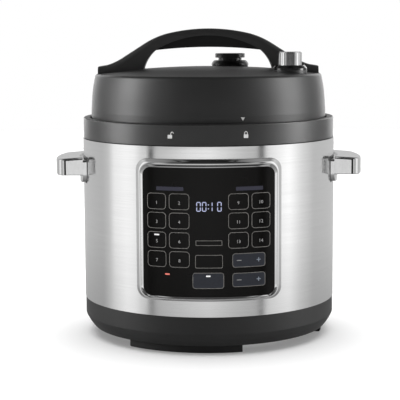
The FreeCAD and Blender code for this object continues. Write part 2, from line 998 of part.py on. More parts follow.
def power_board():
    body = new_body("power_board")
    centred_block(body, d.mains_x, as_size(0.0), d.mains_half_x, d.mains_half_y, d.mains_bottom, mains_top())


def board_spacers():
    body = new_body("board_spacers")
    rest = d.base_bottom + d.cover_dish_rise
    reach_x = d.mains_half_x - d.spacer_inset
    reach_y = d.mains_half_y - d.spacer_inset
    spots = [(d.mains_x + reach_x * x, reach_y * y) for x in (-1.0, 1.0) for y in (-1.0, 1.0)]
    discs(body, spots, d.spacer_radius, rest, d.mains_bottom - rest)


def relay():
    body = new_body("relay")
    top = mains_top() + d.relay_rise
    centred_block(body, d.relay_x, d.relay_y, d.relay_half_x, d.relay_half_y, mains_top(), top)


def transformer():
    """Laminated core with a winding bobbin."""
    body = new_body("transformer")
    low = mains_top()
    core_top = low + d.core_rise
    centred_block(body, d.core_x, d.core_y, d.core_half_x, d.core_half_y, low + d.core_lift, core_top)
    centred_block(body, d.core_x, d.core_y, d.bobbin_half_x, d.bobbin_half_y, low, low + d.bobbin_rise)


def capacitor():
    body = new_body("capacitor")
    low = mains_top()
    top = low + d.capacitor_rise
    revolve(
        body,
        [
            (0.0, low),
            (d.capacitor_radius, low),
            (d.capacitor_radius, top - 1.0),
            (d.capacitor_radius - 1.0, top),
            (0.0, top),
        ],
    )
    place(body, d.capacitor_x, d.capacitor_y)


def power_inlet():
    """Recessed appliance inlet that stands in the rear wall of the tub."""
    body = new_body("power_inlet")
    block(body, -d.inlet_half, d.inlet_back, d.inlet_half, d.inlet_face, d.inlet_bottom, d.inlet_top)
    mouth = sketch_on(body, "XZ_Plane", -d.socket_floor)
    half = d.inlet_half - d.socket_wall
    low = d.inlet_bottom + d.socket_wall
    high = d.inlet_top - d.socket_wall
    trace(
        mouth,
        [
            (-half, low),
            (half, low),
            (half, high - d.socket_bevel),
            (half - d.socket_bevel, high),
            (-half + d.socket_bevel, high),
            (-half, high - d.socket_bevel),
        ],
    )
    pocket(body, mouth, d.inlet_face - d.socket_floor + 1.0)


def inlet_pins():
    body = new_body("inlet_pins")
    middle = (d.inlet_bottom + d.inlet_top) * 0.5
    sketch = sketch_on(body, "XZ_Plane", -d.socket_floor)
    spots = (
        (-d.pin_pitch, middle + d.pin_live_rise),
        (as_size(0.0), middle + d.pin_earth_rise),
        (d.pin_pitch, middle + d.pin_live_rise),
    )
    width = d.pin_half_width
    height = d.pin_half_height
    for x, z in spots:
        rectangle(sketch, x - width, z - height, x + width, z + height)
    pad(body, sketch, d.pin_end - d.socket_floor, backwards=True)


# Side handles


def grab_middle():
    return (d.grab_bottom + d.saddle_top) * 0.5


def grab_screw_rows():
    row = d.grab_half - d.grab_wall * 0.5
    return (-row, row)


def handle_bracket(label, side):
    """Curved saddle between the wrap and the handle's two legs."""
    body = new_body(label)
    sketch = sketch_on(body, "YZ_Plane", d.shell_radius * (0.8 * side))
    half = d.saddle_half
    high = d.saddle_corner
    low = d.saddle_low_corner
    trace(
        sketch,
        [
            (-half, d.saddle_bottom + low),
            (-half + low, d.saddle_bottom, low),
            (half - low, d.saddle_bottom),
            (half, d.saddle_bottom + low, low),
            (half, d.saddle_top - high),
            (half - high, d.saddle_top, high),
            (-half + high, d.saddle_top),
            (-half, d.saddle_top - high, high),
        ],
    )
    pad(body, sketch, d.shell_radius * 0.4, backwards=side < 0)
    outside = d.shell_radius + d.saddle_sheet
    revolve(
        body,
        [
            (outside, d.saddle_bottom - 5.0),
            (outside + 80.0, d.saddle_bottom - 5.0),
            (outside + 80.0, d.saddle_top + 5.0),
            (outside, d.saddle_top + 5.0),
        ],
        cut=True,
    )
    core = sketch_on(body, "XY_Plane", d.saddle_bottom - 5.0)
    circle(core, 0.0, 0.0, d.shell_radius)
    pocket(body, core, d.saddle_top - d.saddle_bottom + 10.0, backwards=True)
    holes = sketch_on(body, "YZ_Plane")
    for y in grab_screw_rows():
        circle(holes, y, grab_middle(), d.grab_screw)
    pocket(body, holes, d.shell_radius * 2.0, backwards=side > 0)


def bowed_plan(sketch, side, root, leg, half, bow):
    """Plan of a side handle: two straight legs joined by an outward bow."""
    trace(
        sketch,
        [
            (root * side, -half),
            (leg * side, -half),
            (leg * side, half, bow * side),
            (root * side, half),
        ],
    )


def side_handle(label, side):
    """Hood with a roof that slopes outwards, hollow from below for the fingers."""
    body = new_body(label)
    drop = d.grab_top - d.grab_tip_top
    span = d.grab_reach - d.shell_radius
    root = d.shell_radius - span * 0.7
    roof_root = d.grab_top + drop * 0.7
    plan = sketch_on(body, "XY_Plane", d.grab_bottom)
    bowed_plan(plan, side, root, d.grab_leg, d.grab_half, d.grab_bow)
    pad(body, plan, roof_root - d.grab_bottom)
    corner_x = SIZES["grab_leg"]
    round_edges(
        body,
        d.grab_corner,
        lambda edge: edge.BoundBox.ZLength > 10.0 and abs(edge.BoundBox.XMax * side - corner_x) < 0.01,
    )
    slope = sketch_on(body, "XZ_Plane")
    trace(
        slope,
        [
            (root * side, roof_root),
            ((d.grab_reach + span * 0.3) * side, d.grab_tip_top - drop * 0.3),
            ((d.grab_reach + span * 0.3) * side, roof_root + 5.0),
            (root * side, roof_root + 5.0),
        ],
    )
    pocket(body, slope, d.grab_half * 3.0, midplane=True)
    low = SIZES["grab_bottom"] + 5.0
    round_edges(
        body,
        d.grab_round,
        lambda edge: edge.BoundBox.ZMin > low and edge.BoundBox.XLength > 0.01,
    )
    wall = d.grab_wall
    hollow = sketch_on(body, "XY_Plane", d.grab_bottom - 1.0)
    bowed_plan(hollow, side, root - 1.0, d.grab_leg - wall * 0.5, d.grab_half - wall, d.grab_bow - wall)
    pocket(body, hollow, d.grab_roof - d.grab_bottom + 1.0, backwards=True)
    seat = sketch_on(body, "XY_Plane", d.grab_bottom - 5.0)
    circle(seat, 0.0, 0.0, d.shell_radius + d.saddle_sheet)
    pocket(body, seat, roof_root - d.grab_bottom + 10.0, backwards=True)
    holes = sketch_on(body, "YZ_Plane")
    for y in grab_screw_rows():
        circle(holes, y, grab_middle(), d.grab_screw)
    pocket(body, holes, d.grab_screw_depth, backwards=side > 0)


def handle_screws():
    """Four screws from inside the wrap into the handles' legs."""
    body = new_body("handle_screws")
    neck = d.grab_screw_start + d.grab_screw_rise * 0.5
    for side in (-1, 1):
        head = sketch_on(body, "YZ_Plane", d.grab_screw_start * side)
        shank = sketch_on(body, "YZ_Plane", neck * side)
        for y in grab_screw_rows():
            circle(head, y, grab_middle(), d.grab_screw_head)
            circle(shank, y, grab_middle(), d.grab_screw - 0.1)
        pad(body, head, d.grab_screw_rise, backwards=side < 0)
        pad(body, shank, d.grab_screw_end - neck, backwards=side < 0)


# Control panel


def sleeve(name, inner, rise, bottom, top):
    """Curved sheet around the cooker's axis, from which a panel is cut out."""
    outside = doc.addObject("Part::Cylinder", f"{name}_outside")
    inside = doc.addObject("Part::Cylinder", f"{name}_inside")
    for cylinder, radius in ((outside, inner + rise), (inside, inner)):
        bind(cylinder, "Radius", radius)
        bind(cylinder, "Height", top - bottom)
        bind(cylinder, "Placement.Base.z", bottom)
    sheet = doc.addObject("Part::Cut", f"{name}_sheet")
    sheet.Base = outside
    sheet.Tool = inside
    return sheet


def curved_panel(label, inner, rise, outline, hole=None):
    """Rounded rectangle wrapped round the shell; outline and hole are (half, low, high, corner)."""
    half, low, high, corner = outline
    sheet = sleeve(label, inner, rise, low - 2.0, high + 2.0)
    cutter = doc.addObject("PartDesign::Body", f"{label}_outline")
    sketch = sketch_on(cutter, "XZ_Plane")
    rounded_rectangle(sketch, half, low, high, corner)
    if hole:
        rounded_rectangle(sketch, *hole)
    pad(cutter, sketch, d.shell_radius + 30.0)
    panel = doc.addObject("Part::Common", label)
    panel.Base = sheet
    panel.Tool = cutter
    panel.Label = label
    doc.recompute()
    finished.append(panel)


def control_panel():
    overlay = (d.overlay_half, d.overlay_bottom, d.overlay_top, d.overlay_corner)
    frame = (d.bezel_half, d.bezel_bottom, d.bezel_top, d.bezel_corner)
    curved_panel("panel_bezel", d.shell_radius, d.bezel_rise, frame, overlay)
    curved_panel("panel_overlay", d.shell_radius, d.overlay_rise, overlay)
    inner = d.shell_radius - d.shell_wall - d.tray_sheet
    margin = d.window_margin * 0.5
    tray = (d.tray_half, d.overlay_bottom - margin, d.overlay_top + margin, d.overlay_corner)
    gap = (d.window_half - 3.0, d.board_bottom, d.board_top, d.overlay_corner)
    curved_panel("panel_housing", inner, d.tray_sheet, tray, gap)


def control_board():
    body = new_body("control_board")
    back = d.board_y + d.board_sheet
    block(body, -d.board_half, d.board_y, d.board_half, back, d.board_bottom, d.board_top)


def key_centres():
    """Places of all keys on the panel."""
    keys = [(-x, z) for x in KEY_COLUMNS for z in KEY_ROWS_LEFT]
    keys += [(x, z) for x in KEY_COLUMNS for z in KEY_ROWS_RIGHT]
    keys += [(x, z) for x in ROCKER_COLUMNS for z in ROCKER_ROWS]
    return keys + list(MIDDLE_KEYS)


def tact_switches():
    body = new_body("tact_switches")
    sketch = sketch_on(body, "XZ_Plane", -d.board_y)
    half = d.switch_side * 0.5
    for x, z in key_centres():
        rectangle(sketch, -half + x, -half + z, half + x, half + z)
    pad(body, sketch, d.switch_rise)


def indicator_leds():
    body = new_body("indicator_leds")
    sketch = sketch_on(body, "XZ_Plane", -d.board_y)
    for x, z in LED_PLACES:
        circle(sketch, x, z, d.led_radius)
    pad(body, sketch, d.led_rise)


def display_module():
    """Four-digit light module standing on the control board."""
    body = new_body("display_module")
    front = d.board_y - d.display_rise
    block(body, -d.display_half, front, d.display_half, d.board_y, d.display_bottom, d.display_top)


# Condensation cup at the back


def cup_holder():
    """Two rails under the drain spout that carry the cup's flange."""
    body = new_body("cup_holder")
    flange = d.cup_half + d.cup_flange
    inside = flange + d.rail_gap
    outside = inside + d.rail_wall
    shelf = d.cup_top - d.cup_flange_sheet - d.rail_gap
    roof = d.cup_top + 0.5
    block(body, -outside, d.rail_root, outside, d.cup_back, roof, d.spout_bottom)
    for side in (-1.0, 1.0):
        far = outside * side
        inner = d.cup_half + d.rail_gap
        block(body, inside * side, d.rail_root, far, d.cup_back, shelf - d.rail_lip, d.spout_bottom)
        block(body, inner * side, d.rail_root, far, d.cup_back, shelf - d.rail_lip, shelf)
    seat = sketch_on(body, "XY_Plane", shelf - d.rail_lip - 1.0)
    circle(seat, 0.0, 0.0, d.shell_radius)
    pocket(body, seat, d.spout_bottom - shelf + d.rail_lip + 2.0, backwards=True)
    bores(body, [(0.0, d.spout_reach - d.spout_bore * 1.1)], d.spout_bore * 0.8, roof - 1.0, 6.0)


def condensation_cup():
    body = new_body("condensation_cup")
    half = d.cup_half
    wall = d.cup_wall
    block(body, -half, d.cup_front, half, d.cup_back, d.cup_bottom, d.cup_top)
    flange = half + d.cup_flange
    block(body, -flange, d.cup_front, flange, d.cup_back, d.cup_top - d.cup_flange_sheet, d.cup_top)
    hollow = sketch_on(body, "XY_Plane", d.cup_bottom + wall)
    rectangle(hollow, -half + wall, d.cup_front + wall, half - wall, d.cup_back - wall)
    pocket(body, hollow, d.cup_top - d.cup_bottom, backwards=True)


# Inner pot and its seal


def inner_pot():
    body = new_body("inner_pot")
    outer = d.pot_inner + d.pot_wall
    rim_top = d.pot_rim_bottom + d.pot_wall
    revolve(
        body,
        [
            (0.0, d.plate_top),
            (outer - d.pot_corner, d.plate_top),
            (outer, d.plate_top + d.pot_corner, d.pot_corner),
            (outer, d.pot_rim_bottom),
            (d.pot_rim_radius, d.pot_rim_bottom),
            (d.pot_rim_radius, rim_top),
            (d.pot_inner, rim_top),
            (d.pot_inner, d.plate_top + d.pot_corner),
            (outer - d.pot_corner, d.plate_top + d.pot_wall, d.pot_wall - d.pot_corner),
            (0.0, d.plate_top + d.pot_wall),
        ],
    )


def sealing_gasket():
    """Silicone channel, open inwards, that lies on the pot's rim."""
    body = new_body("sealing_gasket")
    low = d.pot_rim_bottom + d.pot_wall
    wall = d.gasket_outer - d.gasket_wall
    revolve(
        body,
        [
            (d.gasket_inner, low),
            (d.gasket_outer, low),
            (d.gasket_outer, d.gasket_top),
            (d.gasket_inner, d.gasket_top),
            (d.gasket_inner, d.gasket_top - d.gasket_lip),
            (wall, d.gasket_top - d.gasket_lip),
            (wall, low + d.gasket_lip),
            (d.gasket_inner, low + d.gasket_lip),
        ],
    )


# Lid


def lid_outside():
    """Outer line of the lid from its skirt to the middle of its top, as (radius, height) corners."""
    return [
        (d.lid_radius, d.lid_skirt_top),
        (d.lid_waist_radius, d.lid_waist),
        (d.lid_shoulder_radius, d.lid_shoulder, d.side_bulge),
        (d.lid_top_radius, d.lid_top_edge, d.edge_round),
        (0.0, d.lid_top, dome_radius(d.lid_top_radius)),
    ]


def dome_radius(rim):
    """Radius of the lid's shallow top over a rim of the given radius."""
    rise = d.lid_top - d.lid_top_edge
    formula = f"(({rim.formula})^2 + ({rise.formula})^2) / (2 * {rise.formula})"
    return Size((rim.value**2 + rise.value**2) / (2.0 * rise.value), f"({formula})")


def lid_cover():
    body = new_body("lid_cover")
    wall = d.lid_wall
    rim = d.lid_top_radius - wall * 0.5
    inside = [
        (0.0, d.lid_top - wall),
        (rim, d.lid_top_edge - wall, -dome_radius(rim)),
        (d.lid_waist_radius - wall, d.lid_waist),
        (d.lid_radius - wall, d.lid_skirt_top),
        (d.lid_radius - wall, d.lid_bottom),
    ]
    revolve(body, [(d.lid_radius, d.lid_bottom)] + lid_outside() + inside)
    plate_top = d.lid_plate_bottom + d.plate_sheet
    posts = [polar(d.lid_post_circle, angle) for angle in LID_POST_ANGLES]
    discs(body, posts, d.lid_post, plate_top, d.lid_top_edge - plate_top)
    bores(body, posts, d.lid_screw_hole, plate_top - 1.0, d.lid_screw_length + 1.0)
    step = d.lid_top_edge - 2.0
    discs(body, [(d.dial_x, d.dial_y)], d.collar_radius, step, d.collar_bottom - step)
    bores(body, [(d.dial_x, d.dial_y)], d.dial_stem + 0.5, d.lid_top_edge - 10.0, 20.0)
    bores(body, [(d.valve_x, d.valve_y)], d.valve_pipe + 0.5, d.lid_top_edge - 10.0, 20.0)
    bores(body, [(d.float_x, d.float_y)], d.float_bush + 0.4, d.lid_top_edge - 10.0, 20.0)
    bores(body, handle_screw_spots(), d.screw_hole, d.lid_top_edge - 10.0, 20.0)


def handle_screw_spots():
    return [(d.handle_screw_x * x, d.handle_screw_y * y) for x in (-1.0, 1.0) for y in (-1.0, 1.0)]


def lid_plate():
    """Pressed steel lid: flat top, turned-down rim and the bayonet lugs."""
    body = new_body("lid_plate")
    top = d.lid_plate_bottom + d.plate_sheet
    inner = d.lid_plate_radius - d.plate_sheet
    revolve(
        body,
        [
            (0.0, d.lid_plate_bottom),
            (inner, d.lid_plate_bottom),
            (inner, d.lug_bottom),
            (d.lid_plate_radius, d.lug_bottom),
            (d.lid_plate_radius, top - 2.0),
            (d.lid_plate_radius - 2.0, top, 2.0),
            (0.0, top),
        ],
    )
    lug = revolve(
        body,
        [
            (d.lid_plate_radius - 1.0, d.lug_bottom),
            (d.lug_radius, d.lug_bottom),
            (d.lug_radius, d.lug_bottom + d.lug_sheet),
            (d.lid_plate_radius - 1.0, d.lug_bottom + d.lug_sheet),
        ],
        span=d.lug_span,
        turn=-90.0,
    )
    pattern(body, [lug], LUG_COUNT)
    under = d.lid_plate_bottom - 2.0
    posts = [polar(d.lid_post_circle, angle) for angle in LID_POST_ANGLES]
    bores(body, posts, d.lid_screw_hole, under, 6.0)
    bores(body, [(d.valve_x, d.valve_y)], d.valve_pipe + 0.1, under, 6.0)
    bores(body, [(d.float_x, d.float_y)], d.float_bush + 0.1, under, 6.0)
    bores(body, [(d.dial_x, d.dial_y)], d.seat_bore, under, 6.0)


def gasket_rack():
    """Wire hoop inside the gasket's channel, on posts under the lid plate."""
    body = new_body("gasket_rack")
    sketch = sketch_on(body, "XZ_Plane")
    circle(sketch, d.rack_circle, d.rack_height, d.rack_wire)
    hoop = body.newObject("PartDesign::Revolution", "Revolution")
    hoop.Profile = sketch
    hoop.ReferenceAxis = (sketch, ["V_Axis"])
    hoop.Angle = 360.0
    finish_feature(body, hoop, "hoop")
    arm = revolve(
        body,
        [
            (d.rack_post_circle, d.rack_height - 1.0),
            (d.rack_circle, d.rack_height - 1.0),
            (d.rack_circle, d.rack_height + 1.0),
            (d.rack_post_circle, d.rack_height + 1.0),
        ],
        span=3.0,
    )
    pattern(body, [arm], len(RACK_ANGLES))
    spots = [polar(d.rack_post_circle, angle) for angle in RACK_ANGLES]
    low = d.rack_height - 1.0
    discs(body, spots, d.rack_post, low, d.lid_plate_bottom - low)


def lid_screws():
    body = new_body("lid_screws")
    posts = [polar(d.lid_post_circle, angle) for angle in LID_POST_ANGLES]
    discs(body, posts, d.screw_head, d.lid_plate_bottom - d.screw_head_rise, d.screw_head_rise)
    discs(body, posts, d.lid_screw, d.lid_plate_bottom - 0.5, d.lid_screw_length)


def handle_outline():
    """Front view of the arched handle: feet on the lid, flared roots, crowned bar over a finger gap."""
    low = d.lid_shoulder - 6.0
    return [
        (-d.handle_half, low),
        (-d.handle_gap_half, low),
        (-d.handle_gap_half, d.handle_gap_foot),
        (-d.handle_gap_x, d.handle_gap_z, -d.handle_gap_bulge),
        (d.handle_gap_x, d.handle_gap_z, -d.handle_under_bulge),
        (d.handle_gap_half, d.handle_gap_foot, -d.handle_gap_bulge),
        (d.handle_gap_half, low),
        (d.handle_half, low),
        (d.handle_half, d.handle_foot_top),
        (d.handle_flare_x, d.handle_flare_z),
        (d.handle_rise_x, d.handle_rise_z, -d.handle_flare_bulge),
        (d.handle_crown_x, d.handle_crown_z),
        (d.handle_brow_x, d.handle_brow_z, d.handle_brow_bulge),
        (-d.handle_brow_x, d.handle_brow_z, d.handle_crown_bulge),
        (-d.handle_crown_x, d.handle_crown_z, d.handle_brow_bulge),
        (-d.handle_rise_x, d.handle_rise_z),
        (-d.handle_flare_x, d.handle_flare_z, -d.handle_flare_bulge),
        (-d.handle_half, d.handle_foot_top),
    ]


def grip_outline():
    """Lens between the crown of the handle and its underside."""
    return [
        (d.handle_gap_x, d.handle_gap_z, -d.handle_under_bulge),
        (-d.handle_gap_x, d.handle_gap_z, d.grip_bulge),
    ]


def lid_handle():
    body = new_body("lid_handle")
    sketch = sketch_on(body, "XZ_Plane")
    trace(sketch, handle_outline())
    pad(body, sketch, d.handle_depth, midplane=True)
    bores(body, handle_screw_spots(), d.screw_hole, d.lid_shoulder - 8.0, d.handle_screw_depth)
    half = SIZES["handle_depth"] / 2.0
    crown = SIZES["handle_foot_top"] - 0.5
    round_edges(
        body,
        d.handle_round,
        lambda edge: edge.BoundBox.YLength < 0.01
        and abs(abs(edge.BoundBox.YMin) - half) < 0.01
        and edge.BoundBox.ZMin > crown
        and not inside_gap(edge.BoundBox),
    )
    lens = sketch_on(body, "XZ_Plane")
    trace(lens, grip_outline())
    pocket(body, lens, d.handle_depth + 2.0, midplane=True)
    outside = d.lid_radius + 20.0
    under = d.lid_shoulder - 10.0
    below = [(0.0, under), (outside, under), (outside, d.lid_shoulder)]
    revolve(body, below + lid_outside()[2:], cut=True)


def inside_gap(box):
    """True for the edges of the finger gap."""
    half = SIZES["handle_gap_half"] + 1.0
    return box.XMax < half and box.XMin > -half and box.ZMax < SIZES["handle_crown_z"] - 1.0


def handle_grip():
    """Soft lens-shaped insert that closes the handle's underside."""
    body = new_body("handle_grip")
    sketch = sketch_on(body, "XZ_Plane")
    trace(sketch, grip_outline())
    pad(body, sketch, d.handle_depth - d.grip_setback * 2.0, midplane=True)


def lid_handle_screws():
    body = new_body("lid_handle_screws")
    seat = d.handle_screw_seat
    discs(body, handle_screw_spots(), d.screw_head, seat - d.screw_head_rise, d.screw_head_rise)
    discs(body, handle_screw_spots(), d.screw_radius, seat - 0.5, d.handle_screw_length)


# Valves on the lid


def steam_valve_pipe():
    body = new_body("steam_valve_pipe")
    revolve(
        body,
        [
            (d.valve_bore, d.lid_plate_bottom - 5.0),
            (d.valve_nut, d.lid_plate_bottom - 5.0),
            (d.valve_nut, d.lid_plate_bottom),
            (d.valve_pipe, d.lid_plate_bottom),
            (d.valve_pipe, d.valve_neck_top - 1.0),
            (d.valve_bore, d.valve_neck_top),
        ],
    )
    place(body, d.valve_x, d.valve_y)


def anti_block_shield():
    """Slotted cap that keeps food out of the steam pipe."""
    body = new_body("anti_block_shield")
    inner = d.shield_radius - 1.0
    revolve(
        body,
        [
            (0.0, d.shield_bottom),
            (d.shield_radius, d.shield_bottom),
            (d.shield_radius, d.lid_plate_bottom),
            (inner, d.lid_plate_bottom),
            (inner, d.shield_bottom + 1.0),
            (0.0, d.shield_bottom + 1.0),
        ],
    )
    slot = sketch_on(body, "XZ_Plane")
    rectangle(slot, -1.2, d.shield_bottom + 2.5, 1.2, d.lid_plate_bottom - 2.5)
    cut = pocket(body, slot, d.shield_radius + 5.0)
    pattern(body, [cut], SHIELD_SLOTS)
    place(body, d.valve_x, d.valve_y)


def steam_valve_cap():
    """Spool-shaped weight that floats on the steam pipe."""
    body = new_body("steam_valve_cap")
    bore = d.valve_pipe + d.stem_clearance
    revolve(
        body,
        [
            (bore, d.valve_bottom),
            (d.valve_foot_radius, d.valve_bottom),
            (d.valve_foot_radius, d.valve_bottom + d.valve_foot_lip),
            (d.valve_foot_top_radius, d.valve_foot_top, d.valve_foot_bulge),
            (d.valve_neck_radius, d.valve_foot_top),
            (d.valve_neck_radius, d.valve_neck_top),
            (d.valve_disc_radius, d.valve_neck_top),
            (d.valve_disc_radius, d.valve_top - 1.0),
            (d.valve_disc_radius - 1.0, d.valve_top, 1.001),
            (0.0, d.valve_top),
            (0.0, d.valve_neck_top + 0.4),
            (bore, d.valve_neck_top + 0.4),
        ],
    )
    place(body, d.valve_x, d.valve_y)


def dial_collar():
    body = new_body("dial_collar")
    revolve(
        body,
        [
            (d.dial_stem + d.stem_clearance, d.collar_bottom),
            (d.collar_radius, d.collar_bottom),
            (d.collar_radius, d.collar_bottom + 2.0),
            (d.collar_radius - 2.2, d.collar_top - 0.6),
            (d.collar_radius - 3.0, d.collar_top),
            (d.collar_bore, d.collar_top),
            (d.collar_bore, d.dial_bottom - 0.6),
            (d.dial_stem + d.stem_clearance, d.dial_bottom - 0.6),
        ],
    )
    place(body, d.dial_x, d.dial_y)


def release_dial():
    """Fluted knob with a stem that reaches the release valve's seat."""
    body = new_body("release_dial")
    revolve(
        body,
        [
            (0.0, d.lid_plate_bottom + 5.0),
            (d.dial_stem, d.lid_plate_bottom + 5.0),
            (d.dial_stem, d.dial_bottom),
            (d.dial_radius, d.dial_bottom),
            (d.dial_radius, d.dial_top - 1.5),
            (d.dial_radius - 1.5, d.dial_top, 1.501),
            (0.0, d.dial_top),
        ],
    )
    flute = sketch_on(body, "XY_Plane", d.dial_bottom + 2.0)
    circle(flute, d.dial_radius + 0.4, 0.0, d.dial_flute)
    groove = pocket(body, flute, 40.0, backwards=True)
    pattern(body, [groove], FLUTE_COUNT)
    place(body, d.dial_x, d.dial_y)


def release_valve_seat():
    body = new_body("release_valve_seat")
    plate_top = d.lid_plate_bottom + d.plate_sheet
    revolve(
        body,
        [
            (d.seat_bore, plate_top),
            (d.seat_radius, plate_top),
            (d.seat_radius, d.seat_top),
            (d.dial_stem + d.stem_clearance, d.seat_top),
            (d.dial_stem + d.stem_clearance, d.lid_plate_bottom + 4.5),
            (d.seat_bore, d.lid_plate_bottom + 4.5),
        ],
    )
    place(body, d.dial_x, d.dial_y)


def float_valve_bush():
    body = new_body("float_valve_bush")
    plate_top = d.lid_plate_bottom + d.plate_sheet
    bore = d.float_stem + d.stem_clearance
    flange = d.float_bush + d.float_bush_flange
    revolve(
        body,
        [
            (bore, d.lid_plate_bottom - 1.0),
            (d.float_bush, d.lid_plate_bottom - 1.0),
            (d.float_bush, plate_top),
            (flange, plate_top),
            (flange, plate_top + d.float_bush_flange_rise),
            (d.float_bush, plate_top + d.float_bush_flange_rise),
            (d.float_bush, d.float_bush_top),
            (bore, d.float_bush_top),
        ],
    )
    place(body, d.float_x, d.float_y)


def float_valve_pin():
    body = new_body("float_valve_pin")
    seal = d.float_bottom + d.float_foot_sheet
    revolve(
        body,
        [
            (0.0, d.float_bottom),
            (d.float_foot, d.float_bottom),
            (d.float_foot, seal),
            (d.float_stem, seal),
            (d.float_stem, d.float_bush_top + 0.1),
            (d.float_head, d.float_bush_top + 0.1),
            (d.float_head, d.float_bush_top + 2.2),
            (d.float_head - 0.6, d.float_bush_top + 2.8),
            (0.0, d.float_bush_top + 2.8),
        ],
    )
    place(body, d.float_x, d.float_y)


def float_seal():
    body = new_body("float_seal")
    low = d.float_bottom + d.float_foot_sheet
    high = low + d.float_seal_rise
    revolve(
        body,
        [
            (d.float_stem, low),
            (d.float_seal_radius, low),
            (d.float_seal_radius, high),
            (d.float_stem, high),
        ],
    )
    place(body, d.float_x, d.float_y)


def build():
    base_housing()
    bottom_cover()
    bottom_screws()
    for label, angle in FOOT_ANGLES.items():
        foot(label, angle)
    outer_shell()
    rim_ring()
    outer_pot()
    lock_ring()
    can_standoffs()
    heating_plate()
    heating_element()
    sensor_holder()
    sensor_spring()
    sensor_button()
    pressure_switch()
    thermal_fuses()
    power_board()
    board_spacers()
    relay()
    transformer()
    capacitor()
    power_inlet()
    inlet_pins()
    for label, side in (("left", -1), ("right", 1)):
        handle_bracket(f"handle_bracket_{label}", side)
        side_handle(f"side_handle_{label}", side)
    handle_screws()
    control_panel()
    control_board()
    tact_switches()
    indicator_leds()
    display_module()
    cup_holder()
    condensation_cup()
    inner_pot()
    sealing_gasket()
    lid_cover()
    lid_plate()
    gasket_rack()
    lid_screws()
    lid_handle()
    handle_grip()
    lid_handle_screws()
    steam_valve_pipe()
    anti_block_shield()
    steam_valve_cap()
    dial_collar()
    release_dial()
    release_valve_seat()
    float_valve_bush()
    float_valve_pin()
    float_seal()
    doc.recompute()


def write_parts():
    for item in doc.Objects:
        if "Invalid" in item.State or "Error" in item.State:
            raise RuntimeError(f"{item.Label} failed: {item.State}")
    for item in finished:
        if item.Shape.isNull() or not item.Shape.isValid():
            raise RuntimeError(f"{item.Label} has no valid shape")
    os.makedirs("parts", exist_ok=True)
    for item in finished:
        item.Shape.exportStep(f"parts/{item.Label}.step")
    print(len(finished), "sub-parts written")


build()
write_parts()
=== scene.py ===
import math

import bmesh
import bpy
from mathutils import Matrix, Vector


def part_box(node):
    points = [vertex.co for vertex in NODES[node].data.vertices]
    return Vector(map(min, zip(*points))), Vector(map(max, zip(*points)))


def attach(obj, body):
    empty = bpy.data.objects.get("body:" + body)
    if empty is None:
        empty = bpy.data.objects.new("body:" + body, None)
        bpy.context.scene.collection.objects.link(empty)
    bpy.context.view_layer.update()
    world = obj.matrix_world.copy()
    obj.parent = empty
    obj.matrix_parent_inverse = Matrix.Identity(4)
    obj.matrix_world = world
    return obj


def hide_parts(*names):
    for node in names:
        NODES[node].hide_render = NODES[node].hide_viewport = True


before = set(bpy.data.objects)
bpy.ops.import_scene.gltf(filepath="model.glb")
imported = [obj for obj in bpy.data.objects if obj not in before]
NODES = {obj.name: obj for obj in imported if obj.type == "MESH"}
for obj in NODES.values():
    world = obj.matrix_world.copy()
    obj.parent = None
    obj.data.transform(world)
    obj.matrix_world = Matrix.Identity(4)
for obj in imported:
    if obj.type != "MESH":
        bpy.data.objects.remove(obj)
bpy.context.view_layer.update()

# Electric pressure cooker in metres, front towards -Y. Sizes in millimetres are turned into metres with MM.
MM = 0.001
SIDES = ((-1.0, "left"), (1.0, "right"))

# Photograph: 400 x 400 pixels, seen from the height of the handle's crown.
IMAGE_SIDE = 400.0
FOCAL_PIXELS = 1334.0
HORIZON_ROW = 28.3
AXIS_COLUMN = 207.9
SENSOR = 36.0
CAMERA_DISTANCE = 1.495
CAMERA_HEIGHT = 0.3385
CAMERA_ROLL = math.radians(0.3)

# Control panel in millimetres: middles (x, z) as seen from the front, then half widths and half heights.
KEY_COLUMNS = ((30.5, 10.5), (53.9, 9.7))
KEY_ROWS = (162.1, 142.2, 121.9, 102.0)
KEY_HALF_HEIGHT = 8.4
KEY_CORNER = 3.6
WIDE_KEY_CORNER = KEY_CORNER * 0.8
OUTLINE = 0.5
LEAST_CORNER = 0.05
FIGURE_HEIGHT = 3.4
FIGURE_DROP = 1.2
TYPE_PER_HEIGHT = 1.4
DELAY_KEY = (0.0, 100.2, 14.2, 6.9)
DELAY_CORNER = 1.6
START_KEY = (-0.8, 80.2, 16.2, 8.3)
ROCKERS = ((41.3, 100.9, 17.1, 7.3), (41.3, 80.4, 17.1, 7.3))
ROCKER_SIGN = 10.2
MINUS_REACH = 2.4
PLUS_REACH = 2.1
PLUS_ARM = (1.25, 0.9)
SIGN_STROKE = 0.35
STATUS_BAR = (0.0, 119.5, 13.6, 2.7)
STATUS_CORNER = 0.5
SECTION_TAGS = ((-40.0, 175.4, 14.0, 2.0), (42.0, 175.4, 14.0, 2.0))
TAG_CORNER = 0.8
WHITE_LEDS = ((-53.9, 127.2, 2.6, 0.75), (-0.8, 85.0, 2.3, 0.75))
RED_LED = (-43.1, 86.3, 2.4, 0.8)
LED_CORNER = 0.5
SMALL_STEPS = 3

# Display: seven-segment figures and a colon.
DISPLAY_TIME = "00:10"
DISPLAY_LOW = 152.2
DISPLAY_HEIGHT = 10.0
DIGIT_WIDTH = 4.6
DIGIT_LEFT = {0: -12.8, 1: -7.0, 3: 3.0, 4: 8.6}
SEGMENT = 0.9
COLON_X = -0.4
COLON_SHARES = (0.3, 0.7)
COLON_DOT = (0.6, 0.6, 0.5)

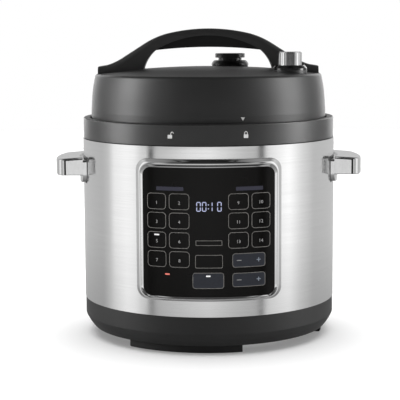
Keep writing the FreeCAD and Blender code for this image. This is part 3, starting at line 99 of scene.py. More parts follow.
# Signs on the lid and on the collar under it, and the lay of every print.
LID_SIGN = (35.5, 245.7)
LID_ARROW = (2.1, 1.9)
LOCKED_SIGN = (38.4, 230.6)
OPEN_SIGN = (-39.5, 230.4)
LOCK_DROP = 1.7
LOCK_BODY = (2.3, 1.9, 0.4)
BOW_RADII = (1.75, 1.05)
BOW_RISE = 1.6
BOW_SWING = 2.4
BOW_STEPS = 10
LEG_PLACE = (1.4, 0.9)
LEG_HALF = (0.35, 0.7)
SIGN_LIFT = 0.05 * MM
FILL_LIFT = SIGN_LIFT * 0.4
TOP_LIFT = SIGN_LIFT * 2.0
SIGN_SHEET = 0.05 * MM
SAME_CORNER = 0.01 * MM
SLICE = 1.5 * MM

# Panel frame in millimetres: share of the way from its outer to its inner edge, and height off the wrap.
FRAME_SECTION = (
    (0.0, 0.0),
    (0.0, 0.4),
    (0.1, 1.0),
    (0.2, 1.7),
    (0.3, 2.45),
    (0.38, 3.0),
    (0.44, 3.3),
    (0.5, 3.4),
    (0.63, 3.4),
    (0.69, 3.2),
    (0.71, 2.8),
    (0.715, 1.95),
    (0.725, 1.85),
    (0.985, 1.85),
    (1.0, 1.8),
    (1.0, 0.2),
)
FRAME_EDGES = (("panel_bezel", 12.5), ("panel_overlay", 8.5))
FRAME_CORNER_STEPS = 10
LONG_SIDE = 6.0
SIDE_PARTS = 48
# Painted shade: a dark strip along the frame's upper inner step, where shade falls in the gap: shares of its
# edges, heights, half length and taper.
GAP_SHARES = (0.72, 0.86)
GAP_HEIGHTS = (1.7, 2.0)
GAP_HALF = 61.0
GAP_TAPER = 9.0
GAP_LEAST = 0.05
GAP_STATIONS = 60

# Seat under the steam valve's foot in millimetres, set in from the foot's edge.
SEAT_WALL = 3.0
SEAT_HEIGHT = 3.0
SEAT_SETS = (0.3, 0.6)
SEAT_GAP = 0.1
SEAT_STEPS = 64

# Steam dial in millimetres: knob and stem as (radius, height, share of the flutes' depth).
DIAL_ROWS = (
    (5.0, 240.0, 0.0),
    (5.0, 295.9, 0.0),
    (12.4, 295.9, 0.0),
    (12.7, 296.3, 0.0),
    (12.7, 298.6, 0.0),
    (12.7, 298.8, 1.0),
    (12.7, 311.5, 1.0),
    (12.26, 312.5, 0.7),
    (11.2, 313.0, 0.0),
)
DIAL_FLUTES = 30
DIAL_FLUTE_DEPTH = 0.6
# Steps round the knob from one flute to the next, and how many of them are land.
DIAL_STEPS = 12
DIAL_LAND_STEPS = 10

# Side handles in millimetres: plan with a straight leg, a round corner and a shallow bow, and a sloping roof.
HANDLE_HALF = 42.5
HANDLE_CORNER = 9.0
HANDLE_CORNER_X = 157.2
HANDLE_CORNER_TURN = 76.0
HANDLE_CORNER_STEPS = 10
HANDLE_BOW_STEPS = 16
HANDLE_SADDLE = 144.05
HANDLE_SADDLE_SHARE = 0.3
HANDLE_BOTTOM = 179.2
HANDLE_ROOF = (137.6, 199.3)
HANDLE_SLOPE = 0.075
HANDLE_WALL = 3.4
# Rows of the hood, from the hollow's ceiling round its edge to the roof: inset, and height over the bottom
# or, when negative, under the roof.
HANDLE_ROWS = (
    (HANDLE_WALL, -4.0),
    (HANDLE_WALL, 0.0),
    (0.7, 0.0),
    (0.0, 0.7),
    (0.0, 0.8),
    (0.0, -2.0),
    (0.0, -1.9),
    (0.15, -1.2),
    (0.6, -0.5),
    (1.2, -0.15),
    (1.9, -0.001),
)
# Larger faces than this, in square metres, are the flat leg plates.
HANDLE_FLAT = 0.00012
# Painted shade: dark strips that stand for the shade in the joints round the leg plates, by their places
# along the plan.
GROOVE = 0.8
GROOVE_RISE = 0.7
GROOVE_DROP = 2.0
GROOVE_PROUD = 0.08
UPRIGHT_PLACES = (-1.0, -0.5, -0.01, 3.0, 6.0)
LEVEL_PLACES = (-19.4, -14.0, -7.0, -1.0)
# Rubber pad behind a handle's saddle, dark also as painted contact shadow between the handle and the wrap:
# half width and height, from its lower tip up.
PAD_OUTLINE = (
    (42.8, 170.6),
    (43.2, 173.0),
    (44.4, 177.0),
    (46.2, 182.0),
    (46.8, 188.0),
    (46.8, 194.0),
    (46.0, 196.6),
    (44.0, 197.6),
)
PAD_COLUMNS = 24
PAD_SHEET = 0.15 * MM


# Node helpers


def put(tree, kind, inputs=None, **settings):
    """Add a node; inputs hold values, or sockets to link from."""
    node = tree.nodes.new(kind)
    for name, value in settings.items():
        setattr(node, name, value)
    for name, value in (inputs or {}).items():
        socket = node.inputs[name]
        if isinstance(value, bpy.types.NodeSocket):
            tree.links.new(value, socket)
        else:
            socket.default_value = value
    return node


def new_material(name):
    """A material with an empty node tree."""
    material = bpy.data.materials.new(name)
    material.use_nodes = True
    material.node_tree.nodes.clear()
    return material, material.node_tree


def principled(tree, **inputs):
    """Close a material's tree with a Principled shader; underscores in input names stand for spaces."""
    named = {name.replace("_", " "): value for name, value in inputs.items()}
    shader = put(tree, "ShaderNodeBsdfPrincipled", named)
    put(tree, "ShaderNodeOutputMaterial", {"Surface": shader.outputs["BSDF"]})


def reckon(tree, operation, first, second=0.0):
    """Result of a Math node."""
    return put(tree, "ShaderNodeMath", {0: first, 1: second}, operation=operation).outputs["Value"]


def grey(level, warm=0.0):
    return (level * (1.0 + warm), level, level * (1.0 - warm), 1.0)


def dimmed(colour, share):
    return tuple(channel * share for channel in colour[:3]) + (1.0,)


def grain(tree, scale, stretch=(1.0, 1.0, 1.0), detail=3.0, coordinates=None):
    """Noise over the object, finer with a larger scale, drawn out along the axes with a small stretch."""
    if coordinates is None:
        coordinates = put(tree, "ShaderNodeTexCoord").outputs["Object"]
    mapping = put(tree, "ShaderNodeMapping", {"Vector": coordinates, "Scale": stretch})
    inputs = {"Vector": mapping.outputs["Vector"], "Scale": scale, "Detail": detail}
    return put(tree, "ShaderNodeTexNoise", inputs).outputs["Fac"]


def spread(tree, factor, low, high, start=0.3, end=0.7):
    """Map a value between start and end to a range; the defaults take in most of a noise."""
    inputs = {"Value": factor, "From Min": start, "From Max": end, "To Min": low, "To Max": high}
    return put(tree, "ShaderNodeMapRange", inputs).outputs["Result"]


def mottle(tree, noise, dark, light, start=0.3, end=0.7):
    """Colour that wanders between two greys or tints with a noise."""
    inputs = {"Factor": spread(tree, noise, 0.0, 1.0, start, end), "A": dark, "B": light}
    return put(tree, "ShaderNodeMix", inputs, data_type="RGBA").outputs["Result"]


def bump(tree, height, strength, distance):
    inputs = {"Height": height, "Strength": strength, "Distance": distance}
    return put(tree, "ShaderNodeBump", inputs).outputs["Normal"]


def around_axis(tree):
    """Coordinates wrapped round the cooker's axis: turn in radians, height, radius."""
    place = put(tree, "ShaderNodeTexCoord").outputs["Object"]
    parts = put(tree, "ShaderNodeSeparateXYZ", {"Vector": place})
    x, y, z = (parts.outputs[axis] for axis in "XYZ")
    flat = put(tree, "ShaderNodeCombineXYZ", {"X": x, "Y": y})
    radius = put(tree, "ShaderNodeVectorMath", {0: flat.outputs["Vector"]}, operation="LENGTH")
    wrapped = {"X": reckon(tree, "ARCTAN2", y, x), "Y": z, "Z": radius.outputs["Value"]}
    return put(tree, "ShaderNodeCombineXYZ", wrapped).outputs["Vector"]


# Materials


def moulded_plastic(name, level, roughness, specular):
    """Charcoal moulding with a fine spark-eroded grain."""
    material, tree = new_material(name)
    patch = grain(tree, 14.0, detail=2.0)
    fine = grain(tree, 2500.0, detail=1.0)
    principled(
        tree,
        Base_Color=mottle(tree, patch, grey(level * 0.9), grey(level * 1.1)),
        Roughness=spread(tree, patch, roughness - 0.03, roughness + 0.03),
        Specular_IOR_Level=specular,
        Normal=bump(tree, fine, 0.25, 0.0001),
    )
    return material


def brushed_metal(name, level, roughness):
    """Steel brushed round the cooker, so that its streaks lie level."""
    material, tree = new_material(name)
    wrapped = around_axis(tree)
    lines = grain(tree, 1.0, (3.0, 2600.0, 40.0), 4.0, wrapped)
    broad = grain(tree, 1.0, (1.2, 160.0, 10.0), 3.0, wrapped)
    principled(
        tree,
        Base_Color=mottle(tree, lines, grey(level * 0.94), grey(level)),
        Metallic=1.0,
        Roughness=spread(tree, broad, roughness - 0.03, roughness + 0.03),
        Normal=bump(tree, lines, 0.12, 0.00005),
    )
    return material


def plain_metal(name, colour, roughness):
    """Drawn, turned or plated metal with a faint cloudy finish."""
    material, tree = new_material(name)
    cloud = grain(tree, 60.0, detail=4.0)
    fine = grain(tree, 1800.0, (1.0, 1.0, 0.1), 2.0)
    principled(
        tree,
        Base_Color=mottle(tree, cloud, dimmed(colour, 0.95), colour),
        Metallic=1.0,
        Roughness=spread(tree, fine, roughness * 0.85, roughness * 1.15),
        Normal=bump(tree, fine, 0.05, 0.00003),
    )
    return material


def gloss_sheet(name, level, specular):
    """Black printed sheet under a glossy film."""
    material, tree = new_material(name)
    cloud = grain(tree, 30.0, detail=3.0)
    principled(
        tree,
        Base_Color=mottle(tree, cloud, grey(level * 0.85, 0.08), grey(level * 1.15, 0.08)),
        Roughness=spread(tree, cloud, 0.1, 0.16),
        Specular_IOR_Level=specular,
    )
    return material


def clear_moulding(name):
    material, tree = new_material(name)
    cloud = grain(tree, 80.0, detail=2.0)
    principled(
        tree,
        Base_Color=(0.86, 0.88, 0.9, 1.0),
        Roughness=spread(tree, cloud, 0.06, 0.16),
        Transmission_Weight=0.9,
        IOR=1.49,
    )
    return material


def silicone_rubber(name):
    material, tree = new_material(name)
    cloud = grain(tree, 40.0, detail=3.0)
    principled(
        tree,
        Base_Color=mottle(tree, cloud, grey(0.68), grey(0.76)),
        Roughness=spread(tree, cloud, 0.42, 0.52),
        Subsurface_Weight=0.15,
        Subsurface_Scale=0.003,
    )
    return material


def solder_mask(name):
    """Green circuit board with the relief of its tracks."""
    material, tree = new_material(name)
    tracks = grain(tree, 420.0, (1.0, 0.2, 1.0), 1.0)
    principled(
        tree,
        Base_Color=mottle(tree, tracks, (0.01, 0.09, 0.035, 1.0), (0.03, 0.17, 0.07, 1.0), 0.48, 0.52),
        Roughness=0.35,
        Normal=bump(tree, tracks, 0.2, 0.0001),
    )
    return material


def print_ink(name, colour, roughness=0.45):
    """Ink printed on the panel or a moulding, with a slightly uneven lay."""
    material, tree = new_material(name)
    cloud = grain(tree, 900.0, detail=2.0)
    principled(
        tree,
        Base_Color=mottle(tree, cloud, dimmed(colour, 0.86), colour),
        Roughness=roughness,
        Specular_IOR_Level=0.25,
    )
    return material


def lit_segment(name, colour, strength):
    """Lit part of the display or a lamp behind the film."""
    material, tree = new_material(name)
    cloud = grain(tree, 700.0, detail=1.0)
    principled(
        tree,
        Base_Color=grey(0.02),
        Roughness=0.2,
        Emission_Color=mottle(tree, cloud, dimmed(colour, 0.8), colour),
        Emission_Strength=strength,
    )
    return material


INKS = {
    "outline": print_ink("outline ink", (0.27, 0.26, 0.245, 1.0)),
    "number": print_ink("number ink", (0.48, 0.48, 0.48, 1.0)),
    "sign": print_ink("sign ink", (0.85, 0.85, 0.84, 1.0)),
    "fill": print_ink("key fill", (0.03, 0.033, 0.044, 1.0), 0.3),
    "tag": print_ink("tag ink", (0.05, 0.05, 0.075, 1.0)),
    "plus": print_ink("plus ink", (0.36, 0.42, 0.5, 1.0)),
    "time": lit_segment("display light", (0.52, 0.56, 0.82, 1.0), 1.0),
    "lamp": lit_segment("white lamp", (0.95, 0.95, 0.95, 1.0), 1.1),
    "red": lit_segment("red lamp", (0.9, 0.22, 0.17, 1.0), 1.0),
}
# Materials by the record's slots.
MATERIALS = {
    "base_plastic": moulded_plastic("charcoal plastic", 0.02, 0.42, 0.43),
    "grip_plastic": moulded_plastic("grip plastic", 0.008, 0.5, 0.2),
    "rubber": moulded_plastic("foot rubber", 0.016, 0.7, 0.2),
    "valve_plastic": moulded_plastic("valve plastic", 0.016, 0.4, 0.4),
    "inner_plastic": moulded_plastic("inner plastic", 0.03, 0.5, 0.4),
    "silicone": silicone_rubber("silicone"),
    "brushed_steel": brushed_metal("brushed steel", 0.9, 0.14),
    "sheet_steel": brushed_metal("pressed steel", 0.75, 0.28),
    "screw_steel": plain_metal("screw steel", grey(0.6), 0.35),
    "satin_metal": plain_metal("satin metal", grey(0.8), 0.15),
    "chrome": plain_metal("chrome", grey(0.88), 0.06),
    "cast_aluminium": plain_metal("cast aluminium", grey(0.66), 0.42),
    "element_steel": plain_metal("element steel", grey(0.45), 0.4),
    "pot_coating": moulded_plastic("pot coating", 0.05, 0.38, 0.5),
    "overlay_gloss": gloss_sheet("panel overlay", 0.004, 0.13),
    "circuit_board": solder_mask("circuit board"),
    "led_lens": clear_moulding("led lens"),
    "brass": plain_metal("brass", (0.7, 0.55, 0.3, 1.0), 0.3),
    "clear_plastic": clear_moulding("clear plastic"),
}
# Nodes whose finish differs from the others of their slot.
OWN_PLASTICS = {
    "dial_collar": moulded_plastic("collar gloss", 0.006, 0.12, 0.45),
    "rim_ring": moulded_plastic("collar plastic", 0.02, 0.38, 0.54),
    "base_housing": moulded_plastic("tub plastic", 0.019, 0.48, 0.31),
}
OWN_METALS = {f"handle_bracket_{word}": MATERIALS["satin_metal"] for _, word in SIDES}
# Pad rubber, darkened also as painted contact shadow round the handles.
PAD_RUBBER_AND_SHADE = moulded_plastic("pad rubber", 0.1, 0.6, 0.3)


def dress_nodes():
    """Give every CAD node the material of its slot, or a finish of its own."""
    for node in NODES.values():
        for place in node.material_slots:
            place.material = MATERIALS[place.material.name.split(".")[0]]
    for name, material in {**OWN_PLASTICS, **OWN_METALS}.items():
        NODES[name].material_slots[0].material = material


# Shape helpers

WRAP_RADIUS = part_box("outer_shell")[1][0]
OVERLAY_RADIUS = -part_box("panel_overlay")[0][1]
RING_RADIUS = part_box("rim_ring")[1][0]
LID_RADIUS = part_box("lid_cover")[1][0]


def reach(radius, offset):
    """How far a circle about the axis reaches, at an offset from its middle."""
    return math.sqrt(radius**2 - offset**2)


def box_in_mm(node):
    """Middle and half size of a node's box at rest, in millimetres."""
    low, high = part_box(node)
    middle = [(start + end) / 2.0 / MM for start, end in zip(low, high)]
    half = [(end - start) / 2.0 / MM for start, end in zip(low, high)]
    return middle, half


def add_piece(name, shape, material, body, turn_out=True):
    """Make a bmesh into a piece that rides on a body, with its faces turned outwards."""
    if turn_out:
        bmesh.ops.recalc_face_normals(shape, faces=shape.faces)
    mesh = bpy.data.meshes.new(name)
    shape.to_mesh(mesh)
    shape.free()
    mesh.materials.append(material)
    piece = bpy.data.objects.new(name, mesh)
    bpy.context.scene.collection.objects.link(piece)
    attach(piece, body)
    return piece


def thicken(piece, thickness):
    """Give a sheet its thickness, on its outer side."""
    sheet = piece.modifiers.new("sheet", "SOLIDIFY")
    sheet.thickness = thickness
    sheet.offset = 1.0


def skin(shape, loops):
    """Walls between neighbouring loops of corners."""
    count = len(loops[0])
    for first, second in zip(loops, loops[1:]):
        for number in range(count):
            after = (number + 1) % count
            shape.faces.new((first[number], first[after], second[after], second[number]))


def skin_closed(shape, loops):
    """Walls between loops of corners, with both ends closed."""
    skin(shape, loops)
    shape.faces.new(loops[0])
    shape.faces.new(loops[-1])


def turned_loop(shape, x, y, height, radii):
    """Corners round an upright axis, one for each radius, in millimetres."""
    loop = []
    for step, radius in enumerate(radii):
        angle = 2.0 * math.pi * step / len(radii)
        spot = (x + radius * math.cos(angle), y + radius * math.sin(angle), height)
        loop.append(shape.verts.new([size * MM for size in spot]))
    return loop


def round_loop(x, z, half_x, half_z, corner, steps=6):
    """Corner points of a rounded rectangle, counter-clockwise from its lower right corner."""
    points = []
    for quarter, (side, level) in enumerate(((1, -1), (1, 1), (-1, 1), (-1, -1))):
        for step in range(steps + 1):
            angle = math.pi / 2.0 * (quarter - 1 + step / steps)
            across = x + side * (half_x - corner) + corner * math.cos(angle)
            points.append((across, z + level * (half_z - corner) + corner * math.sin(angle)))
    return points


def split_long(loop):
    """The same closed line with its straight sides cut into equal parts, so that it can bend."""
    points = []
    for number, (x, z) in enumerate(loop):
        points.append((x, z))
        next_x, next_z = loop[(number + 1) % len(loop)]
        if math.hypot(next_x - x, next_z - z) > LONG_SIDE:
            for part in range(1, SIDE_PARTS):
                share = part / SIDE_PARTS
                points.append((x + (next_x - x) * share, z + (next_z - z) * share))
    return points


# Prints


def outlined(x, z, half_x, half_z, corner):
    """Line round a rounded rectangle, as a ring of four-sided pieces."""
    outer = round_loop(x, z, half_x, half_z, corner)
    inner = round_loop(x, z, half_x - OUTLINE, half_z - OUTLINE, max(corner - OUTLINE, LEAST_CORNER))
    faces = []
    for number in range(len(outer)):
        after = (number + 1) % len(outer)
        faces.append([outer[number], outer[after], inner[after], inner[number]])
    return faces


def bar(x, z, half_x, half_z):
    left, right = x - half_x, x + half_x
    low, high = z - half_z, z + half_z
    return [(left, low), (right, low), (right, high), (left, high)]


def number_faces(figures, x, z):
    """Plain figures centred at a place, as flat polygons."""
    curve = bpy.data.curves.new("figures", "FONT")
    curve.body = figures
    curve.size = FIGURE_HEIGHT * TYPE_PER_HEIGHT
    curve.align_x = "CENTER"
    curve.resolution_u = 3
    writing = bpy.data.objects.new("figures", curve)
    mesh = bpy.data.meshes.new_from_object(writing)
    faces = []
    for polygon in mesh.polygons:
        corners = [mesh.vertices[index].co for index in polygon.vertices]
        faces.append([(x + corner.x, z - FIGURE_HEIGHT / 2.0 + corner.y) for corner in corners])
    bpy.data.objects.remove(writing)
    bpy.data.curves.remove(curve)
    bpy.data.meshes.remove(mesh)
    return faces


def stamp(name, faces, ink, radius, body, lift=SIGN_LIFT):
    """Flat polygons in millimetres, wrapped round the cooker's axis as a thin raised print."""
    sheet = bmesh.new()
    for face in faces:
        sheet.faces.new([sheet.verts.new((x * MM, 0.0, z * MM)) for x, z in face])
    bmesh.ops.remove_doubles(sheet, verts=sheet.verts, dist=SAME_CORNER)
    across = [vertex.co.x for vertex in sheet.verts]
    first = math.floor(min(across) / SLICE)
    last = math.ceil(max(across) / SLICE)
    for number in range(first, last + 1):
        geometry = sheet.verts[:] + sheet.edges[:] + sheet.faces[:]
        cut = (number * SLICE, 0.0, 0.0)
        bmesh.ops.bisect_plane(sheet, geom=geometry, plane_co=cut, plane_no=(1.0, 0.0, 0.0))
    for vertex in sheet.verts:
        vertex.co.y = -reach(radius + lift, vertex.co.x)
    thicken(add_piece(name, sheet, INKS[ink], body, turn_out=False), SIGN_SHEET)


def on_panel(name, faces, ink, lift=SIGN_LIFT):
    stamp(name, faces, ink, OVERLAY_RADIUS, "base", lift)


def key_places():
    """Middles and half widths of the programme keys: four rows on the left, three on the right."""
    keys = [(-x, z, half) for z in KEY_ROWS for x, half in reversed(KEY_COLUMNS)]
    return keys + [(x, z, half) for z in KEY_ROWS[:3] for x, half in KEY_COLUMNS]


def digit_segments(figure, left):
    """Lit bars of one seven-segment figure."""
    right = left + DIGIT_WIDTH
    low = DISPLAY_LOW
    high = DISPLAY_LOW + DISPLAY_HEIGHT
    middle = (low + high) / 2.0
    half = SEGMENT / 2.0
    width = (DIGIT_WIDTH - SEGMENT * 1.5) / 2.0
    rise = (DISPLAY_HEIGHT / 2.0 - SEGMENT * 1.5) / 2.0
    centre = (left + right) / 2.0
    bars = {
        "top": (centre, high - half, width, half),
        "middle": (centre, middle, width, half),
        "bottom": (centre, low + half, width, half),
        "upper_left": (left + half, (middle + high) / 2.0, half, rise),
        "upper_right": (right - half, (middle + high) / 2.0, half, rise),
        "lower_left": (left + half, (low + middle) / 2.0, half, rise),
        "lower_right": (right - half, (low + middle) / 2.0, half, rise),
    }
    unlit = {"0": ("middle",), "1": ("top", "middle", "bottom", "upper_right", "lower_right")}
    lit = [place for name, place in bars.items() if name not in unlit[figure]]
    return [round_loop(*place, half * 0.9, SMALL_STEPS) for place in lit]


def print_keys():
    """Key outlines and figures, and the rockers' signs; places of names and words stay bare."""
    outlines = []
    figures = []
    for number, (x, z, half) in enumerate(key_places(), start=1):
        outlines += outlined(x, z, half, KEY_HALF_HEIGHT, KEY_CORNER)
        figures += number_faces(str(number), x, z - FIGURE_DROP)
    outlines += outlined(*DELAY_KEY, DELAY_CORNER)
    outlines += outlined(*STATUS_BAR, STATUS_CORNER)
    fills = []
    for key in (START_KEY, *ROCKERS):
        outlines += outlined(*key, WIDE_KEY_CORNER)
        fills.append(round_loop(*key, WIDE_KEY_CORNER))
    on_panel("key_fills", fills, "fill", FILL_LIFT)
    on_panel("key_outlines", outlines, "outline")
    on_panel("key_figures", figures, "number")
    minus = []
    plus = []
    arm_rise, arm_half = PLUS_ARM
    for x, z, _, _ in ROCKERS:
        minus.append(bar(x - ROCKER_SIGN, z, MINUS_REACH, SIGN_STROKE))
        plus.append(bar(x + ROCKER_SIGN, z, PLUS_REACH, SIGN_STROKE))
        plus.append(bar(x + ROCKER_SIGN, z + arm_rise, SIGN_STROKE, arm_half))
        plus.append(bar(x + ROCKER_SIGN, z - arm_rise, SIGN_STROKE, arm_half))
    on_panel("minus_signs", minus, "number", TOP_LIFT)
    on_panel("plus_signs", plus, "plus", TOP_LIFT)


def print_display():
    """Bare tags, the time in the display and the lamps."""
    on_panel("section_tags", [round_loop(*tag, TAG_CORNER) for tag in SECTION_TAGS], "tag")
    digits = []
    for place, figure in enumerate(DISPLAY_TIME):
        if figure == ":":
            for share in COLON_SHARES:
                z = DISPLAY_LOW + DISPLAY_HEIGHT * share
                digits.append(round_loop(COLON_X, z, *COLON_DOT, SMALL_STEPS))
        else:
            digits += digit_segments(figure, DIGIT_LEFT[place])
    on_panel("display_time", digits, "time")
    lamps = [round_loop(*lamp, LED_CORNER, SMALL_STEPS) for lamp in WHITE_LEDS]
    on_panel("white_lamps", lamps, "lamp", TOP_LIFT)
    on_panel("red_lamp", [round_loop(*RED_LED, LED_CORNER, SMALL_STEPS)], "red")


def padlock(x, z, is_open):
    """Padlock sign: a body with its bow above, swung aside when open."""
    bow_x = x + BOW_SWING if is_open else x
    outer, inner = BOW_RADII
    faces = [round_loop(x, z - LOCK_DROP, *LOCK_BODY, SMALL_STEPS)]
    for step in range(BOW_STEPS):
        corners = []
        for turn, radius in ((step, outer), (step + 1, outer), (step + 1, inner), (step, inner)):
            angle = math.pi * turn / BOW_STEPS
            corners.append((bow_x + radius * math.cos(angle), z + BOW_RISE + radius * math.sin(angle)))
        faces.append(corners)
    across, rise = LEG_PLACE
    for side in (-1.0,) if is_open else (-1.0, 1.0):
        faces.append(bar(bow_x + side * across, z + rise, *LEG_HALF))
    return faces


def print_signs():
    x, z = LID_SIGN
    half_x, half_z = LID_ARROW
    arrow = [(x - half_x, z + half_z), (x, z - half_z), (x + half_x, z + half_z)]
    stamp("lid_arrow", [arrow], "sign", LID_RADIUS, "lid")
    stamp("locked_sign", padlock(*LOCKED_SIGN, False), "sign", RING_RADIUS, "base")
    stamp("open_sign", padlock(*OPEN_SIGN, True), "sign", RING_RADIUS, "base")


# Pieces over the plainer solids


def panel_frame():
    """Rounded bright frame round the panel, over the stepped solid one."""
    outlines = []
    for node, corner in FRAME_EDGES:
        (_, _, z), (half_x, _, half_z) = box_in_mm(node)
        outlines.append(split_long(round_loop(0.0, z, half_x, half_z, corner, FRAME_CORNER_STEPS)))
    ring = bmesh.new()
    loops = []
    for share, rise in FRAME_SECTION:
        radius = WRAP_RADIUS + rise * MM
        loop = []
        for (outer_x, outer_z), (inner_x, inner_z) in zip(*outlines):
            x = (outer_x + (inner_x - outer_x) * share) * MM
            z = (outer_z + (inner_z - outer_z) * share) * MM
            loop.append(ring.verts.new((x, -reach(radius, x), z)))
        loops.append(loop)
    skin(ring, loops + loops[:1])
    for face in ring.faces:
        face.smooth = True
    piece = add_piece("panel_frame", ring, MATERIALS["chrome"], "base")
    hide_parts("panel_bezel")


def panel_gap():
    """Painted shade: a dark strip for the shade in the gap along the upper inner step of the panel's frame,
    tapered at its ends.
    """
    outer_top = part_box("panel_bezel")[1][2]
    inner_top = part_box("panel_overlay")[1][2]
    start, end = GAP_SHARES
    low, high = GAP_HEIGHTS
    gap = bmesh.new()
    rows = []
    for station in range(GAP_STATIONS + 1):
        x = GAP_HALF * (2.0 * station / GAP_STATIONS - 1.0)
        fullness = max(min(1.0, (GAP_HALF - abs(x)) / GAP_TAPER), GAP_LEAST)
        far = start + fullness * (end - start)
        row = []
        for share, rise in ((start, low), (start, high), (far, high), (far, low)):
            y = -reach(WRAP_RADIUS + rise * MM, x * MM)
            row.append(gap.verts.new((x * MM, y, outer_top + (inner_top - outer_top) * share)))
        rows.append(row)
    skin_closed(gap, rows)
    add_piece("panel_gap", gap, MATERIALS["grip_plastic"], "base")


def valve_seat():
    """Low raised seat on the lid that the steam valve's foot stands over."""
    (x, y, _), (foot, _, _) = box_in_mm("steam_valve_cap")
    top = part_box("steam_valve_cap")[0][2] / MM - SEAT_GAP
    bottom = top - SEAT_HEIGHT
    inside = foot - SEAT_WALL
    lower_set, upper_set = SEAT_SETS
    section = ((inside, bottom), (foot - lower_set, bottom), (foot - upper_set, top), (inside, top))
    seat = bmesh.new()
    loops = [turned_loop(seat, x, y, height, [radius] * SEAT_STEPS) for radius, height in section]
    skin(seat, loops + loops[:1])
    add_piece("valve_seat_ring", seat, MATERIALS["base_plastic"], "lid")


def dial_knob():
    """Bright knob with narrow flutes, whose lands stay true to the cylinder."""
    (x, y, _), _ = box_in_mm("release_dial")
    knob = bmesh.new()
    loops = []
    for radius, height, share in DIAL_ROWS:
        land = [radius] * DIAL_LAND_STEPS
        flute = [radius - DIAL_FLUTE_DEPTH * share] * (DIAL_STEPS - DIAL_LAND_STEPS)
        loops.append(turned_loop(knob, x, y, height, (land + flute) * DIAL_FLUTES))
    skin_closed(knob, loops)
    piece = add_piece("dial_knob", knob, MATERIALS["chrome"], "dial")
    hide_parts("release_dial")


# Side handles


def handle_plan(place, inset=0.0):
    """Point and turn on a leg or its corner; place is millimetres before the corner, or degrees round it."""
    if place < 0.0:
        return HANDLE_CORNER_X + place, inset - HANDLE_HALF, 0.0
    angle = math.radians(place)
    radius = HANDLE_CORNER - inset
    x = HANDLE_CORNER_X + radius * math.sin(angle)
    return x, HANDLE_CORNER - HANDLE_HALF - radius * math.cos(angle), angle


def handle_roof(x):
    return HANDLE_ROOF[1] - HANDLE_SLOPE * (x - HANDLE_ROOF[0])


def handle_outline(inset):
    """Closed plan of a side handle: leg, corner, bow, corner, leg and the saddle's curve."""
    half = HANDLE_HALF - inset
    saddle = HANDLE_SADDLE + inset * HANDLE_SADDLE_SHARE
    near = [(reach(saddle, half), -half)]
    for step in range(HANDLE_CORNER_STEPS + 1):
        near.append(handle_plan(HANDLE_CORNER_TURN * step / HANDLE_CORNER_STEPS, inset)[:2])
    end_x, end_y = near[-1]
    turn = math.radians(HANDLE_CORNER_TURN)
    bow = -end_y / math.cos(turn)
    points = list(near)
    for step in range(1, HANDLE_BOW_STEPS):
        angle = turn + (math.pi - 2.0 * turn) * step / HANDLE_BOW_STEPS
        points.append((end_x + bow * (math.sin(angle) - math.sin(turn)), -bow * math.cos(angle)))
    points += [(x, -y) for x, y in reversed(near)]
    for step in range(1, HANDLE_BOW_STEPS):
        y = half - 2.0 * half * step / HANDLE_BOW_STEPS
        points.append((reach(saddle, y), y))
    return points


def handle_hoods():
    """Side handles as hoods that are hollow from below for the fingers."""
    for side, word in SIDES:
        hood = bmesh.new()
        loops = []
        for inset, level in HANDLE_ROWS:
            loop = []
            for x, y in handle_outline(inset):
                z = handle_roof(x) + level if level < 0.0 else HANDLE_BOTTOM + level
                loop.append(hood.verts.new((side * x * MM, y * MM, z * MM)))
            loops.append(loop)
        skin_closed(hood, loops)
        for face in hood.faces:
            face.smooth = len(face.verts) == 4 and face.calc_area() < HANDLE_FLAT
        piece = add_piece(f"handle_hood_{word}", hood, MATERIALS["satin_metal"], "base")
        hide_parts(f"side_handle_{word}")


def handle_strip(strip, line, side, end):
    """Thin raised strip on a handle's leg; line holds (place along the plan, low height, high height)."""
    rows = []
    for place, low, high in line:
        x, y, angle = handle_plan(place)
        out_x = x + GROOVE_PROUD * math.sin(angle)
        out_y = y - GROOVE_PROUD * math.cos(angle)
        corners = ((x, y, low), (x, y, high), (out_x, out_y, high), (out_x, out_y, low))
        rows.append([strip.verts.new((side * a * MM, end * b * MM, c * MM)) for a, b, c in corners])
    skin_closed(strip, rows)


def handle_joints():
    """Painted shade: dark strips for the shade in the joints round the leg plates of both side handles, front
    and back.
    """
    upright = []
    for place in UPRIGHT_PLACES:
        high = handle_roof(handle_plan(place)[0]) - GROOVE_DROP
        upright.append((place, HANDLE_BOTTOM + GROOVE_RISE, high))
    level = []
    for place in LEVEL_PLACES:
        high = handle_roof(handle_plan(place)[0]) - GROOVE_DROP
        level.append((place, high - GROOVE, high))
    for side, word in SIDES:
        strip = bmesh.new()
        for end in (1.0, -1.0):
            handle_strip(strip, upright, side, end)
            handle_strip(strip, level, side, end)
        add_piece(f"handle_seam_shade_{word}", strip, MATERIALS["grip_plastic"], "base")


def handle_pads():
    """Rubber pads between the steel wrap and the handles' saddles, dark also as painted contact shadow."""
    for side, word in SIDES:
        pad = bmesh.new()
        rows = []
        for half, height in PAD_OUTLINE:
            row = []
            for column in range(PAD_COLUMNS + 1):
                y = half * (2.0 * column / PAD_COLUMNS - 1.0) * MM
                x = side * reach(WRAP_RADIUS + SIGN_LIFT, y)
                row.append(pad.verts.new((x, y, height * MM)))
            rows.append(row)
        for low, high in zip(rows, rows[1:]):
            for column in range(PAD_COLUMNS):
                corners = (low[column], low[column + 1], high[column + 1], high[column])
                pad.faces.new(corners if side > 0.0 else corners[::-1])
        thicken(add_piece(f"handle_pad_{word}", pad, PAD_RUBBER_AND_SHADE, "base", turn_out=False), PAD_SHEET)


# Studio

FLOOR_RADIUS = 3.0
FLOOR_CORNERS = 96
FLOOR_LEVEL = 0.93
FLOOR_GLOW = 0.2
# Sun for the floor alone: strength, and spread and tilt in degrees.
SUN_STRENGTH = 4.1
SUN_SPREAD = 70.0
SUN_TILT = -12.0
